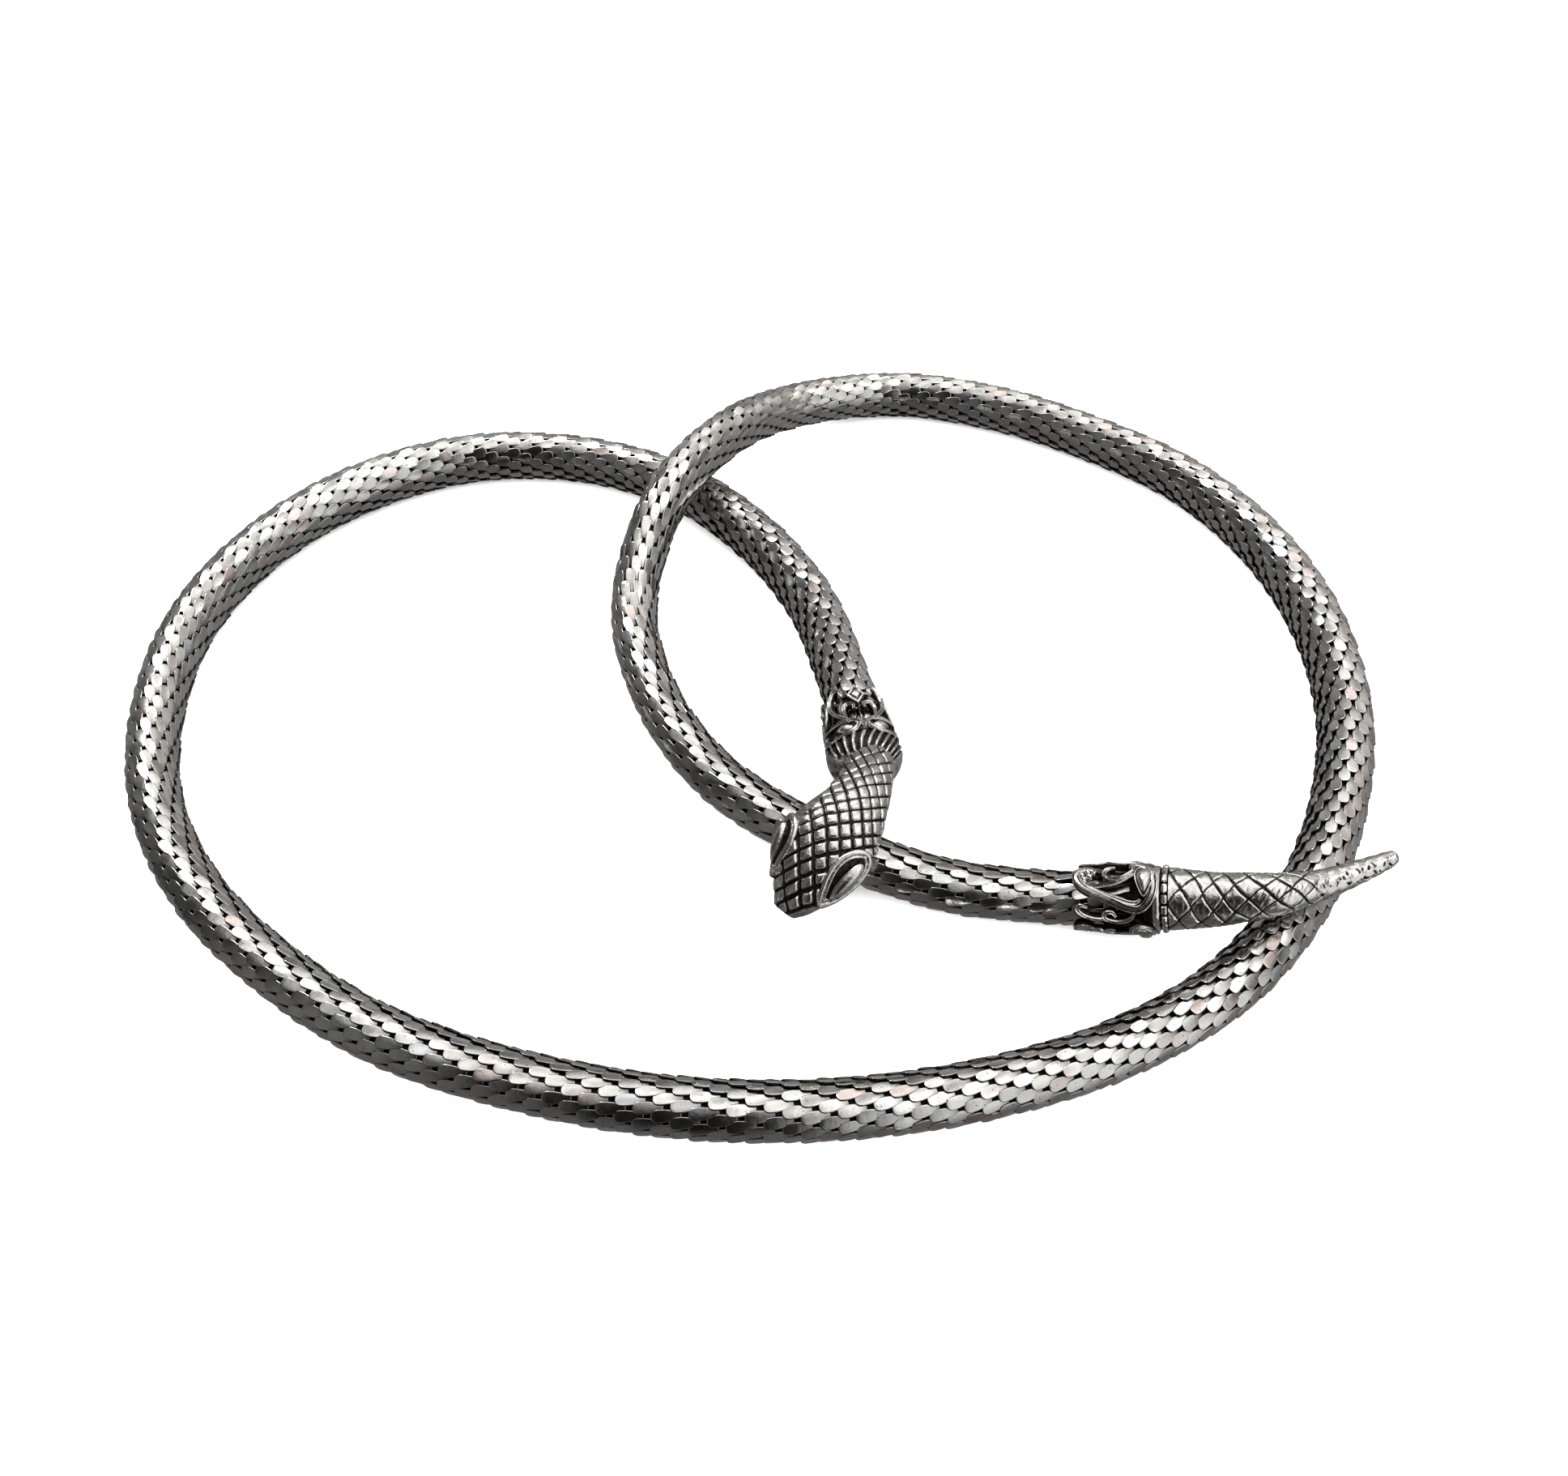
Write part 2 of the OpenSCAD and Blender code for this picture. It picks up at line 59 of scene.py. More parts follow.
# Points that the strand passes through. Columns: x, y, lift, fullness
ROUTE = [
    [20.1, -18.2, 2.3, 0.98],
    [18.85, -9.4, 1.93, 0.98],
    [17.3, -0.9, 1.47, 1],
    [11.4, 22.1, 0.2, 1.02],
    [-0.1, 42.6, 0, 1.02],
    [-17.1, 59.6, 0, 1],
    [-39.1, 68.6, 0, 0.98],
    [-62.6, 68.1, 0, 1.02],
    [-84.1, 57.6, 0, 1.04],
    [-100.1, 40.6, 0, 1.02],
    [-109.6, 18.6, 0, 1],
    [-111.1, -4.9, 0, 0.98],
    [-106.1, -28.4, 0, 0.94],
    [-94.1, -48.9, 0, 0.94],
    [-77.1, -65.4, 0, 0.94],
    [-57.1, -78.4, 0, 0.96],
    [-34.6, -86.4, 0, 0.96],
    [-11.1, -90.9, 0, 0.96],
    [12.4, -91.4, 0, 0.96],
    [36.4, -87.9, 0, 0.96],
    [58.9, -80.4, 0, 0.96],
    [78.9, -67.9, 0, 0.98],
    [94.4, -49.9, 0, 1],
    [104.9, -28.4, 0, 1.02],
    [110.4, -5.4, 0, 1.04],
    [109.9, 18.6, 0, 1.06],
    [103.4, 41.1, 0, 1.04],
    [90.9, 61.1, 0, 1],
    [72.4, 76.1, 0, 0.98],
    [51.4, 87.1, 0, 0.98],
    [28.4, 91.6, 0, 0.96],
    [7.4, 82.6, 3.4, 0.96],
    [-6.6, 64.1, 9.6, 0.96],
    [-18.1, 43.6, 9.4, 0.94],
    [-23.6, 22.1, 1.2, 0.92],
    [-18.6, -1.4, 0, 0.9],
    [-7.1, -21.9, 0, 0.92],
    [10.4, -37.9, 1.65, 0.92],
    [31.9, -47.4, 0.4, 0.92],
    [50, -50.2, 0.13, 0.92],
    [55.4, -51.25, 1.3, 0.92],
    [66.5, -53.4, 3.78, 0.92],
]
# Neck and head, as in part.scad but for the neck's four rows, which lie up to 0.9 nearer to the photo.
# Columns: x, y, z, half width, height above the middle line, depth below it, lean
HEAD_ROWS = [
    [21.2, -24.5, 9.6, 4.1, 4.1, 4.2, 1.2],
    [20.7, -27.4, 11, 4.2, 4.1, 4.2, 1],
    [20, -31.2, 12.6, 4.4, 4.1, 4.1, 0.6],
    [19.1, -34.9, 13.8, 4.8, 4, 3.8, 0.3],
    [17.6, -38.5, 14.5, 5.7, 4, 3.6, 0],
    [15.7, -41.9, 14.5, 7, 3.9, 3.6, 0],
    [13.8, -44.8, 13.7, 7.9, 3.8, 3.4, 0],
    [12, -47.3, 12.4, 8, 3.5, 3.1, 0],
    [10.3, -49.5, 10.9, 7.1, 3.1, 2.7, 0],
    [8.7, -51.5, 9.3, 5.6, 2.6, 2.2, 0],
    [7.2, -53.3, 7.8, 3.9, 1.9, 1.7, 0],
    [6, -54.6, 6.9, 2.2, 1.2, 1.2, 0],
]
# Tail. Columns: x, y, z, radius
TAIL_TABLE = [
    [70.13, -54.1, 9.19, 5.1],
    [76.9, -55.4, 10.7, 4.4],
    [81.9, -56.3, 12.6, 3.85],
    [85.9, -56.7, 13.7, 3.4],
    [89.9, -55.9, 13.8, 2.85],
    [93.9, -54.6, 13.4, 2.4],
    [97.9, -53.15, 13.5, 2.05],
    [101.9, -51.6, 13.8, 1.7],
    [104.9, -50.4, 14.1, 1.4],
    [106.9, -49.5, 14.3, 1.1],
]
TAIL_ROWS = [[x, y, z, r, r, r, 0] for x, y, z, r in TAIL_TABLE]
# Each collar's axis, as a start and a point further along, and its outer radius by the run along it
HEAD_AXIS = ([18.5, -7.4, 6.75], [19.9, -16.9, 7.15])
TAIL_AXIS = ([54.9, -51.15, 5.8], [68.6, -53.8, 8.85])
HEAD_RADIUS = [[-1, 5.9], [2, 5.95], [6, 6.35], [10, 6.6], [14, 6.9]]
TAIL_RADIUS = [[-1, 5.4], [2, 5.7], [6, 6.2], [11, 6.3], [14, 5.9]]

# The scales, as the photo shows them to lie. Columns: place on the route, run of two rings, and the
# sideways step of two rings towards the left of travel as a share of the spacing around the strand
SCALES_AROUND = 11
PITCH_TABLE = [
    [0, 5.2, 0.2],
    [6, 5, 0.2],
    [12, 5.5, 0.4],
    [17, 5.6, 0.3],
    [20, 5.2, 0.2],
    [28, 5, 0.2],
    [31, 4.7, 0.35],
    [34, 6.3, 0.35],
    [37, 5.6, 0.3],
    [41, 5.1, 0.3],
]
# One scale, drawn for this run of two rings: reach of its round end ahead of its origin, half width,
# roundness of that end, where 1 is a half circle and less is squarer, where its sides start and stop
# narrowing, and its half width there
SCALE_PITCH = 5.4
SCALE_FRONT = 1.6
SCALE_HALF = 1.07
SCALE_CORNER = 0.87
SCALE_SHOULDER = 0.35
SCALE_END = 3.05
SCALE_NECK = 0.56
# Steps of its outline around half of the round end, and along one side
FRONT_STEPS = 4
SIDE_STEPS = 3
# Its rings from its underside to its middle: inset, height, brightness
# Dark side walls: painted shadow under each edge. Bevel at 0.45: painted shade dulling its glints
SCALE_RINGS = [[0.05, -0.42, 0.03], [0, -0.15, 0.1], [0.05, -0.055, 0.45], [0.13, -0.008, 1], [0.2, 0, 1]]
# Its hidden end: where it bends down and how much, where painted shade darkens it, and its brightness then
SCALE_BEND_START = 0.2
SCALE_BEND = 0.014
SCALE_SHADOW_FADE = (1.5, 2.9)
SCALE_NECK_SHADE = 0.45
# How it lies, in degrees: lift of its round end, lean that lifts its right edge, and the spread of both
SCALE_TILT = 3
SCALE_ROLL = 8
TILT_SPREAD = 1.5
ROLL_SPREAD = 2
# Spread of its heading, in radians
HEADING_SPREAD = 0.012
# How far scales and core lie under the strand's surface
SCALE_SINK = 0.12
CORE_SINK = 0.75
CORE_SIDES = 20
CORE_RINGS_PER_ROW = 14
# How far the core stops short of the strand's ends, as a share of a row
CORE_END = 0.02
# The scales' metal: brightness, its spread and limits, tint, and the shares and tints of odd ones
METAL = 0.78
METAL_SPREAD = 0.03
METAL_LIMITS = (0.2, 0.92)
METAL_TINT = [1.0, 0.99, 0.965]
COPPERY_SHARE = 0.05
COPPERY_TINT = [0.98, 0.88, 0.86]
BLUISH_SHARE = 0.03
BLUISH_TINT = [0.93, 0.98, 1.03]

random = np.random.default_rng(7)


def unit(v):
    """Each row of v at length 1."""
    v = np.asarray(v, float)
    return v / np.linalg.norm(v, axis=-1, keepdims=True)


def curve(rows, u):
    """The smooth curve through the rows at places u, as in part.scad."""
    rows = np.asarray(rows, float)
    u = np.asarray(u, float)
    last = len(rows) - 1
    i = np.clip(np.floor(u).astype(int), 0, last - 1)
    t = (u - i)[..., None]
    padded = np.vstack([2 * rows[0] - rows[1], rows, 2 * rows[last] - rows[last - 1]])
    a, b, c, d = padded[i], padded[i + 1], padded[i + 2], padded[i + 3]
    cubic = (3 * b - a - 3 * c + d) * t ** 3
    return 0.5 * (2 * b + (c - a) * t + (2 * a - 5 * b + 4 * c - d) * t ** 2 + cubic)


def side_and_up(t):
    """The right-hand side and the top of headings t."""
    side = unit(np.cross(t, [0, 0, 1]))
    return side, np.cross(side, t)


def table_at(table, x, column):
    """A column of a table of rows, read between its rows at x in the first column."""
    table = np.asarray(table, float)
    return np.interp(x, table[:, 0], table[:, column])


def smooth_step(x, low, high):
    """0 below low, 1 above high, smooth between."""
    t = np.clip((x - low) / (high - low), 0, 1)
    return t * t * (3 - 2 * t)


def run_along(points):
    """Run from the first point of a line to each of its points."""
    return np.concatenate([[0], np.cumsum(np.linalg.norm(np.diff(points, axis=0), axis=1))])


# Meshes


def band(start, goal, n):
    """Faces between two rings of n points, as in part.scad."""
    k = np.arange(n)
    after = (k + 1) % n
    return np.stack([start + k, start + after, goal + after, goal + k], axis=1).tolist()


def stack_faces(count, n, closed=False):
    """Faces between count rings of n points, one after another, and back to the first if closed."""
    spans = count if closed else count - 1
    return [face for k in range(spans) for face in band(k * n, ((k + 1) % count) * n, n)]


def end_faces(count, n):
    """Flat faces on the first and the last ring of such a stack."""
    last = (count - 1) * n
    return [list(range(n))[::-1], [last + k for k in range(n)]]


def point_faces(count, n):
    """Faces from the last ring to the point after the stack, and from the first ring to the next point."""
    last = (count - 1) * n
    tip = [[last + k, last + (k + 1) % n, count * n] for k in range(n)]
    return tip + [[(k + 1) % n, k, count * n + 1] for k in range(n)]


def make_piece(name, points, faces, material, nodes, values=None, sharp=35):
    """A mesh object in metres that rides on the part, with its values as the attribute 'shade'."""
    mesh = bpy.data.meshes.new(name)
    mesh.from_pydata(np.asarray(points, float) * MM, [], faces)
    if values is not None:
        shade = mesh.attributes.new("shade", "FLOAT_COLOR", "POINT")
        values = np.asarray(values, float)
        if values.ndim == 1:
            values = np.repeat(values[:, None], 3, axis=1)
        full = np.hstack([values, np.ones((len(values), 1))])
        shade.data.foreach_set("color", full.ravel())
    mesh.shade_smooth()
    mesh.set_sharp_from_angle(angle=math.radians(sharp))
    mesh.materials.append(material)
    piece = bpy.data.objects.new(name, mesh)
    bpy.context.scene.collection.objects.link(piece)
    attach(piece, "root")
    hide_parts(*nodes)
    return piece


class Parts:
    """Points, faces and values gathered from several forms into one mesh."""

    def __init__(self):
        self.points = []
        self.faces = []
        self.values = []
        self.count = 0

    def add(self, points, faces, values):
        """Adds a form. Its values are one number for each point, or one for all."""
        points = np.asarray(points, float).reshape(-1, 3)
        self.points.append(points)
        self.values.append(np.broadcast_to(values, len(points)).astype(float))
        self.faces += [[i + self.count for i in face] for face in faces]
        self.count += len(points)

    def piece(self, name, material, slot, nodes, sharp=35):
        """The gathered forms as one piece."""
        points = np.vstack(self.points)
        values = np.concatenate(self.values)
        return make_piece(name, points, self.faces, material, nodes, values, sharp)


# The strand

# Half of the step, in rows or radians, over which headings and normals are measured
STEP = 0.02
# Steps in which the route is measured
ROUTE_STEPS = 8000


def strand_middle(u):
    """The strand's middle at places u on the route."""
    row = curve(ROUTE, u)
    lift = np.maximum(0, row[..., 2]) + MESH_R * row[..., 3]
    return np.stack([row[..., 0], row[..., 1], lift], axis=-1)


def strand_frame(u):
    """Middle, heading, side, top and radius of the strand at places u."""
    middle = strand_middle(u)
    heading = unit(strand_middle(u + STEP) - strand_middle(u - STEP))
    side, top = side_and_up(heading)
    return middle, heading, side, top, MESH_R * curve(ROUTE, u)[..., 3]


def ring_places():
    """Places on the route of the rings of scales, the turn of each ring, and its row of the table."""
    fine = np.linspace(0, len(ROUTE) - 1, ROUTE_STEPS)
    run = run_along(strand_middle(fine))
    spacing = 2 * math.pi / SCALES_AROUND
    places, turns, pitches = [], [], []
    at = SCALE_FRONT
    turn = 0.0
    while at < run[-1] - SCALE_END:
        u = np.interp(at, run, fine)
        pitch = table_at(PITCH_TABLE, u, 1)
        share = table_at(PITCH_TABLE, u, 2)
        places.append(u)
        turns.append(turn)
        pitches.append((pitch, share))
        at += pitch / 2
        turn += spacing * (1 - share) / 2
    return np.array(places), np.array(turns), np.array(pitches)


def scale_outline():
    """The outline of one scale, from its round end along the right side, around and back."""
    front = np.linspace(0, math.pi / 2, FRONT_STEPS + 1)
    x = SCALE_HALF - SCALE_FRONT - SCALE_HALF * np.abs(np.cos(front)) ** SCALE_CORNER
    y = SCALE_HALF * np.sin(front) ** SCALE_CORNER
    share = np.linspace(0, 1, SIDE_STEPS + 1)
    along = SCALE_SHOULDER + share * (SCALE_END - SCALE_SHOULDER)
    taper = SCALE_NECK + (SCALE_HALF - SCALE_NECK) * (0.5 + 0.5 * np.cos(math.pi * share))
    right = np.stack([np.concatenate([x, along]), np.concatenate([y, taper])], axis=1)
    left = right[:0:-1] * [1, -1]
    return np.vstack([right, left])


def inset(outline, d):
    """The outline, which runs clockwise in x and y, moved inwards by d."""
    before = np.roll(outline, 1, axis=0)
    after = np.roll(outline, -1, axis=0)
    t = unit(after - before)
    return outline + d * np.stack([t[:, 1], -t[:, 0]], axis=1)


def scale_template():
    """Points of one scale, its side, top and bottom faces, and its brightness, with painted shade on its
    sides and hidden end.
    """
    outline = scale_outline()
    n = len(outline)
    points = np.vstack([np.column_stack([inset(outline, d), np.full(n, h)]) for d, h, shade in SCALE_RINGS])
    points[:, 2] -= SCALE_BEND * np.maximum(0, points[:, 0] - SCALE_BEND_START) ** 2
    shades = np.repeat([shade for d, h, shade in SCALE_RINGS], n)
    # Painted shade towards the hidden end, where the next scales cover it
    shades = shades * (1 - (1 - SCALE_NECK_SHADE) * smooth_step(points[:, 0], *SCALE_SHADOW_FADE))
    count = len(SCALE_RINGS)
    return points, stack_faces(count, n), strips((count - 1) * n, n), strips(0, n, False), shades


def strips(start, n, upward=True):
    """Faces that fill an outline whose points k and n - k lie across from each other.

    The first is a triangle, and the others have four corners.
    """
    faces = [[0, 1, n - 1]]
    for k in range(1, (n - 1) // 2):
        faces.append([k, k + 1, n - k - 1, n - k])
    faces = [[start + i for i in face] for face in faces]
    return faces if upward else [face[::-1] for face in faces]


def turned(first, second, angle):
    """Two axes turned by an angle in radians, the second towards the first."""
    cos, sin = np.cos(angle), np.sin(angle)
    return first * cos - second * sin, second * cos + first * sin


def scale_axes(u, turn, pitch):
    """Origins and axes of one ring of scales: along, across and out. Last is the strand's fullness."""
    middle, heading, side, top, radius = strand_frame(u)
    angle = turn + 2 * math.pi * np.arange(SCALES_AROUND) / SCALES_AROUND
    cos, sin = np.cos(angle)[:, None], np.sin(angle)[:, None]
    out = cos * top + sin * side
    across = cos * side - sin * top
    origin = middle + (radius - SCALE_SINK) * out
    step = pitch[1] * 2 * math.pi * radius / SCALES_AROUND
    slope = math.atan2(step, pitch[0]) + random.normal(0, HEADING_SPREAD, SCALES_AROUND)[:, None]
    along, across = turned(heading, across, slope)
    tilt = np.radians(SCALE_TILT + random.normal(0, TILT_SPREAD, SCALES_AROUND))[:, None]
    along, out = turned(along, out, tilt)
    roll = np.radians(SCALE_ROLL + random.normal(0, ROLL_SPREAD, SCALES_AROUND))[:, None]
    out, across = turned(out, across, roll)
    return origin, along, across, out, radius / MESH_R


def scale_tints(count):
    """A slightly different metal colour for each scale."""
    base = np.ones((count, 3)) * (METAL + random.normal(0, METAL_SPREAD, (count, 1)))
    base *= METAL_TINT
    odd = random.random(count)
    base[odd < COPPERY_SHARE] *= COPPERY_TINT
    base[odd > 1 - BLUISH_SHARE] *= BLUISH_TINT
    return np.clip(base, *METAL_LIMITS)


def build_scales(name, places, turns, pitches, node):
    """One piece: the scales of the rings at the given places."""
    template, sides, top, bottom, shades = scale_template()
    n = len(template)
    points, tints_with_painted_shade = [], []
    for u, turn, pitch in zip(places, turns, pitches):
        origin, along, across, out, full = scale_axes(u, turn, pitch)
        long = pitch[0] / SCALE_PITCH
        ring = (origin[:, None, :]
                + along[:, None, :] * (template[:, 0] * long)[None, :, None]
                + across[:, None, :] * (template[:, 1] * full)[None, :, None]
                + out[:, None, :] * template[:, 2][None, :, None])
        points.append(ring.reshape(-1, 3))
        # Each scale's tint times the painted shade of its points
        tints_with_painted_shade.append((scale_tints(SCALES_AROUND)[:, None] * shades[None, :, None]).reshape(-1, 3))
    points = np.vstack(points)
    count = len(points) // n
    faces = []
    for group in (sides, top[1:], bottom[1:], top[:1], bottom[:1]):
        group = np.array(group)
        copies = group[None] + (np.arange(count) * n)[:, None, None]
        faces += copies.reshape(-1, group.shape[1]).tolist()
    return make_piece(name, points, faces, scale_metal, [node], np.vstack(tints_with_painted_shade), sharp=62)


def build_core(name, first, last, node):
    """A near-black tube inside the strand, seen in the gaps between the scales: painted shade for the hollow
    mesh's inside.
    """
    stops = np.linspace(first, last, int((last - first) * CORE_RINGS_PER_ROW))
    middle, heading, side, top, radius = strand_frame(stops)
    a = 2 * math.pi * np.arange(CORE_SIDES) / CORE_SIDES
    ring = np.cos(a)[None, :, None] * side[:, None] + np.sin(a)[None, :, None] * top[:, None]
    points = (middle[:, None] + (radius - CORE_SINK)[:, None, None] * ring).reshape(-1, 3)
    faces = stack_faces(len(stops), CORE_SIDES) + end_faces(len(stops), CORE_SIDES)
    return make_piece(name, points, faces, core_shadow_metal, [node])


# Castings

# A casting's rounded tip: how far out its rings lie, as shares of its run, and the brightness at its
# point and in the middle of the casting's flat start
TIP_SHARES = (0.4, 0.75, 0.93)
TIP_SHADE = 0.8
START_SHADE = 0.1
# Brightness of surfaces that face the strand
INSIDE_SHADE = 0.05


def cast_frame(rows, u):
    """Row, middle, heading, side and top of a casting at places u."""
    row = curve(rows, u)
    ahead = curve(rows, u + STEP)[..., :3]
    behind = curve(rows, u - STEP)[..., :3]
    heading = unit(ahead - behind)
    side, top = side_and_up(heading)
    return row, row[..., :3], heading, side, top


def cast_point(rows, u, a):
    """Points of a casting's surface at rows u and angles a in radians from its top."""
    row, middle, heading, side, top = cast_frame(rows, u)
    rise = np.cos(a)
    height = np.where(rise > 0, row[..., 4], row[..., 5])
    b = np.arctan2(np.sin(a) * np.sqrt(height), rise * np.sqrt(row[..., 3]))
    return (middle + side * (row[..., 3] * np.sin(b))[..., None] + top * (height * np.cos(b))[..., None]
            + heading * (row[..., 6] * np.maximum(0, np.cos(b)))[..., None])


def cast_normal(rows, u, a):
    """Outward normals of that surface."""
    around = cast_point(rows, u, a + STEP) - cast_point(rows, u, a - STEP)
    along = cast_point(rows, u + STEP, a) - cast_point(rows, u - STEP, a)
    return unit(np.cross(around, along))


def cast_body(rows, stations, angles, relief, tip):
    """A casting as one grid of points, raised by relief, with a cap at its start and a rounded tip."""
    u, a = np.meshgrid(stations, angles, indexing="ij")
    base = cast_point(rows, u, a)
    height, value = relief(u, a, base)
    points = base + cast_normal(rows, u, a) * height[..., None]
    row, middle, heading, side, top = cast_frame(rows, np.array([float(len(rows) - 1)]))
    rings = [points.reshape(-1, 3)]
    values = [value.ravel()]
    for share in TIP_SHARES:
        spread = math.sqrt(1 - share * share)
        rings.append(middle[0] + (points[-1] - middle[0]) * spread + heading[0] * tip * share)
        values.append(value[-1])
    rings.append(np.array([middle[0] + heading[0] * tip, points[0].mean(axis=0)]))
    values.append(np.array([TIP_SHADE, START_SHADE]))
    count = len(stations) + len(TIP_SHARES)
    n = len(angles)
    return np.vstack(rings), stack_faces(count, n) + point_faces(count, n), np.concatenate(values)


def picture(points):
    """Where points stand in the photograph, in its pixels."""
    p = np.asarray(points) - CAMERA_AT
    c, s = math.cos(math.radians(CAMERA_PITCH)), math.sin(math.radians(CAMERA_PITCH))
    ahead = c * p[..., 1] - s * p[..., 2]
    up = s * p[..., 1] + c * p[..., 2]
    return PHOTO_MIDDLE[0] + FOCAL * p[..., 0] / ahead, PHOTO_MIDDLE[1] - FOCAL * up / ahead


# Grooves down the head, left to right: photo x and y of points along each
HEAD_COLUMNS = [
    [[930, 1000], [948, 1040], [953, 1080], [955, 1127]],
    [[950, 1000], [960, 1040], [966, 1060], [968, 1085], [969, 1100], [971, 1115], [975, 1127]],
    [[976, 980], [984, 1010], [986, 1030], [987, 1060], [988, 1100], [990, 1122]],
    [[990, 960], [998, 990], [1002, 1010], [1004, 1030], [1005, 1060], [1006, 1118]],
    [[1003, 960], [1010, 978], [1018, 1000], [1021, 1020], [1022, 1040], [1023, 1120]],
    [[1018, 955], [1026, 975], [1032, 992], [1036, 1008], [1037, 1030], [1038, 1056], [1039, 1100]],
    [[1032, 948], [1040, 967], [1045, 980], [1049, 1000], [1051, 1020], [1053, 1045], [1054, 1100]],
    [[1036, 930], [1048, 953], [1055, 967], [1060, 980], [1063, 995], [1064, 1010], [1066, 1045],
     [1067, 1080]],
    [[1049, 928], [1055, 940], [1062, 952], [1068, 967], [1073, 980], [1075, 995], [1076, 1015],
     [1077, 1080]],
    [[1060, 925], [1067, 937], [1075, 953], [1080, 967], [1084, 985], [1086, 1000], [1087, 1080]],
    [[1072, 925], [1080, 938], [1086, 950], [1090, 965], [1093, 985], [1094, 1010], [1094, 1080]],
    [[1084, 925], [1092, 940], [1097, 955], [1099, 970], [1100, 1000], [1100, 1080]],
    [[1096, 925], [1102, 940], [1104, 955], [1105, 1000], [1105, 1080]],
]
# Grooves across it, from the collar to the snout: photo x and y of points along each
HEAD_LINES = [
    [[996, 957], [1026, 944], [1051, 930], [1061, 925], [1078, 920], [1094, 915], [1106, 911]],
    [[1000, 968], [1030, 955], [1055, 941], [1065, 936], [1082, 931], [1098, 926], [1110, 922]],
    [[1000, 978], [1025, 966], [1040, 960], [1050, 956], [1060, 951], [1074, 946], [1094, 943],
     [1105, 941]],
    [[1000, 988], [1020, 977], [1030, 972], [1041, 967], [1054, 962], [1065, 960], [1079, 957],
     [1105, 953]],
    [[980, 1004], [1003, 993], [1020, 985], [1030, 981], [1045, 977], [1057, 973], [1070, 970],
     [1094, 968]],
    [[968, 1020], [987, 1010], [1003, 1003], [1016, 996], [1032, 992], [1047, 989], [1061, 986],
     [1092, 984]],
    [[968, 1030], [987, 1020], [1003, 1013], [1018, 1006], [1034, 1004], [1049, 1001], [1062, 1000],
     [1090, 997]],
    [[968, 1043], [987, 1033], [1004, 1026], [1020, 1020], [1036, 1017], [1051, 1015], [1064, 1014],
     [1092, 1012]],
    [[968, 1061], [987, 1050], [1004, 1042], [1022, 1037], [1037, 1036], [1052, 1034], [1065, 1033],
     [1080, 1032]],
    [[968, 1077], [987, 1066], [1004, 1059], [1022, 1054], [1037, 1052], [1052, 1049], [1067, 1046],
     [1080, 1044]],
    [[969, 1094], [987, 1084], [1004, 1077], [1022, 1074], [1037, 1070], [1060, 1064]],
    [[970, 1111], [987, 1102], [1004, 1096], [1022, 1091], [1060, 1082]],
    [[950, 1135], [975, 1127], [990, 1121], [1008, 1116], [1030, 1108], [1060, 1098]],
]
# Outlines of an eye's rim and of the eyeball. Columns: row along the head, angle from its top
EYE_RIM = [[9.3, 77], [8.9, 63], [8.35, 53.5], [7.8, 47.5], [7.25, 45], [6.75, 47.5], [6.35, 55],
           [6.1, 66], [6.05, 76], [6.35, 87], [6.95, 93.5], [7.6, 95.5], [8.2, 94], [8.8, 88]]
EYE_BALL = [[8.75, 76], [8.23, 66], [7.75, 63.5], [7.15, 63.5], [6.72, 66.5], [6.5, 71], [6.5, 78],
            [6.9, 83.5], [7.5, 86.5], [8.1, 86.5], [8.5, 82]]
# Between the grooves: the least space in photo pixels, and how many spaces a count may go on outside
LEAST_SPACE = 3
FAR = 99
# An eye. Its ridges: distance inside the rim's outline, half width, height. Then their start above the
# bed, and their brightness
EYE_RIDGES = [[0, 0.42, 0.62], [0.62, 0.2, 0.3]]
EYE_RIDGE_BASE = 0.1
EYE_RIDGE_SHADE = 1.1
# The sunk bed inside it: where it starts outside the outline, its height and its brightness
EYE_BED_EDGE = (-0.6, -0.1)
EYE_BED = 0.1
EYE_BED_SHADE = 0.05
# Its ball: start above the bed, run to its full height, that height, and the run of its dark edge
EYE_BALL_BASE = 0.05
EYE_REACH = 1.45
EYE_HEIGHT = 1.15
EYE_BALL_EDGE = (0.02, 0.2)
# The head's grid of points, the angle from its top within which it has scales, and its tip's run
HEAD_STATIONS = 232
HEAD_TOP_ANGLES = 220
HEAD_LOW_ANGLES = 26
HEAD_SPAN = math.radians(116)
HEAD_TIP = 0.5
# How squarely a point must face the camera for the photo to show it, and the grooves in each radian
# beyond those that it shows
SEEN_LIMIT = 0.12
UNSEEN_GROOVES = -2.9
# Edges of the grooves down and across, as shares of the spacing: floor, top, more at the snout
COLUMN_GROOVE = (0.03, 0.16, 0.06)
LINE_GROOVE = (0.02, 0.13, 0.16)
# Where the scales fade: within the span in radians, at the first and last lines, and the line from
# which the snout's coarser scales start
SPAN_FADE = 0.3
LINE_FADE = (0.02, 0.12)
SNOUT_LINE = 4
# The plain patch at the neck's left and the flatter column on the cheek, in columns and lines
BARE_SLOPE = 1.05
BARE_EDGE = (7.6, 7.85)
CHEEK_EDGE = (0.75, 1.0)
CHEEK_FLATTER = 0.75
# Heights of the scales, of more at the snout, of their domes and of the lip, and where the lip starts
HEAD_SCALE_H = 0.38
SNOUT_SCALE_H = 0.2
HEAD_DOME_H = 0.12
LIP_H = 0.25
LIP_EDGE = (0.02, 0.15)
# Brightness of the scales' tops, the plain patch, the underside and the lip
SCALE_TOP_SHADE = 1.05
BARE_SHADE = 0.5
UNDERSIDE_SHADE = 0.7
LIP_SHADE = 0.75


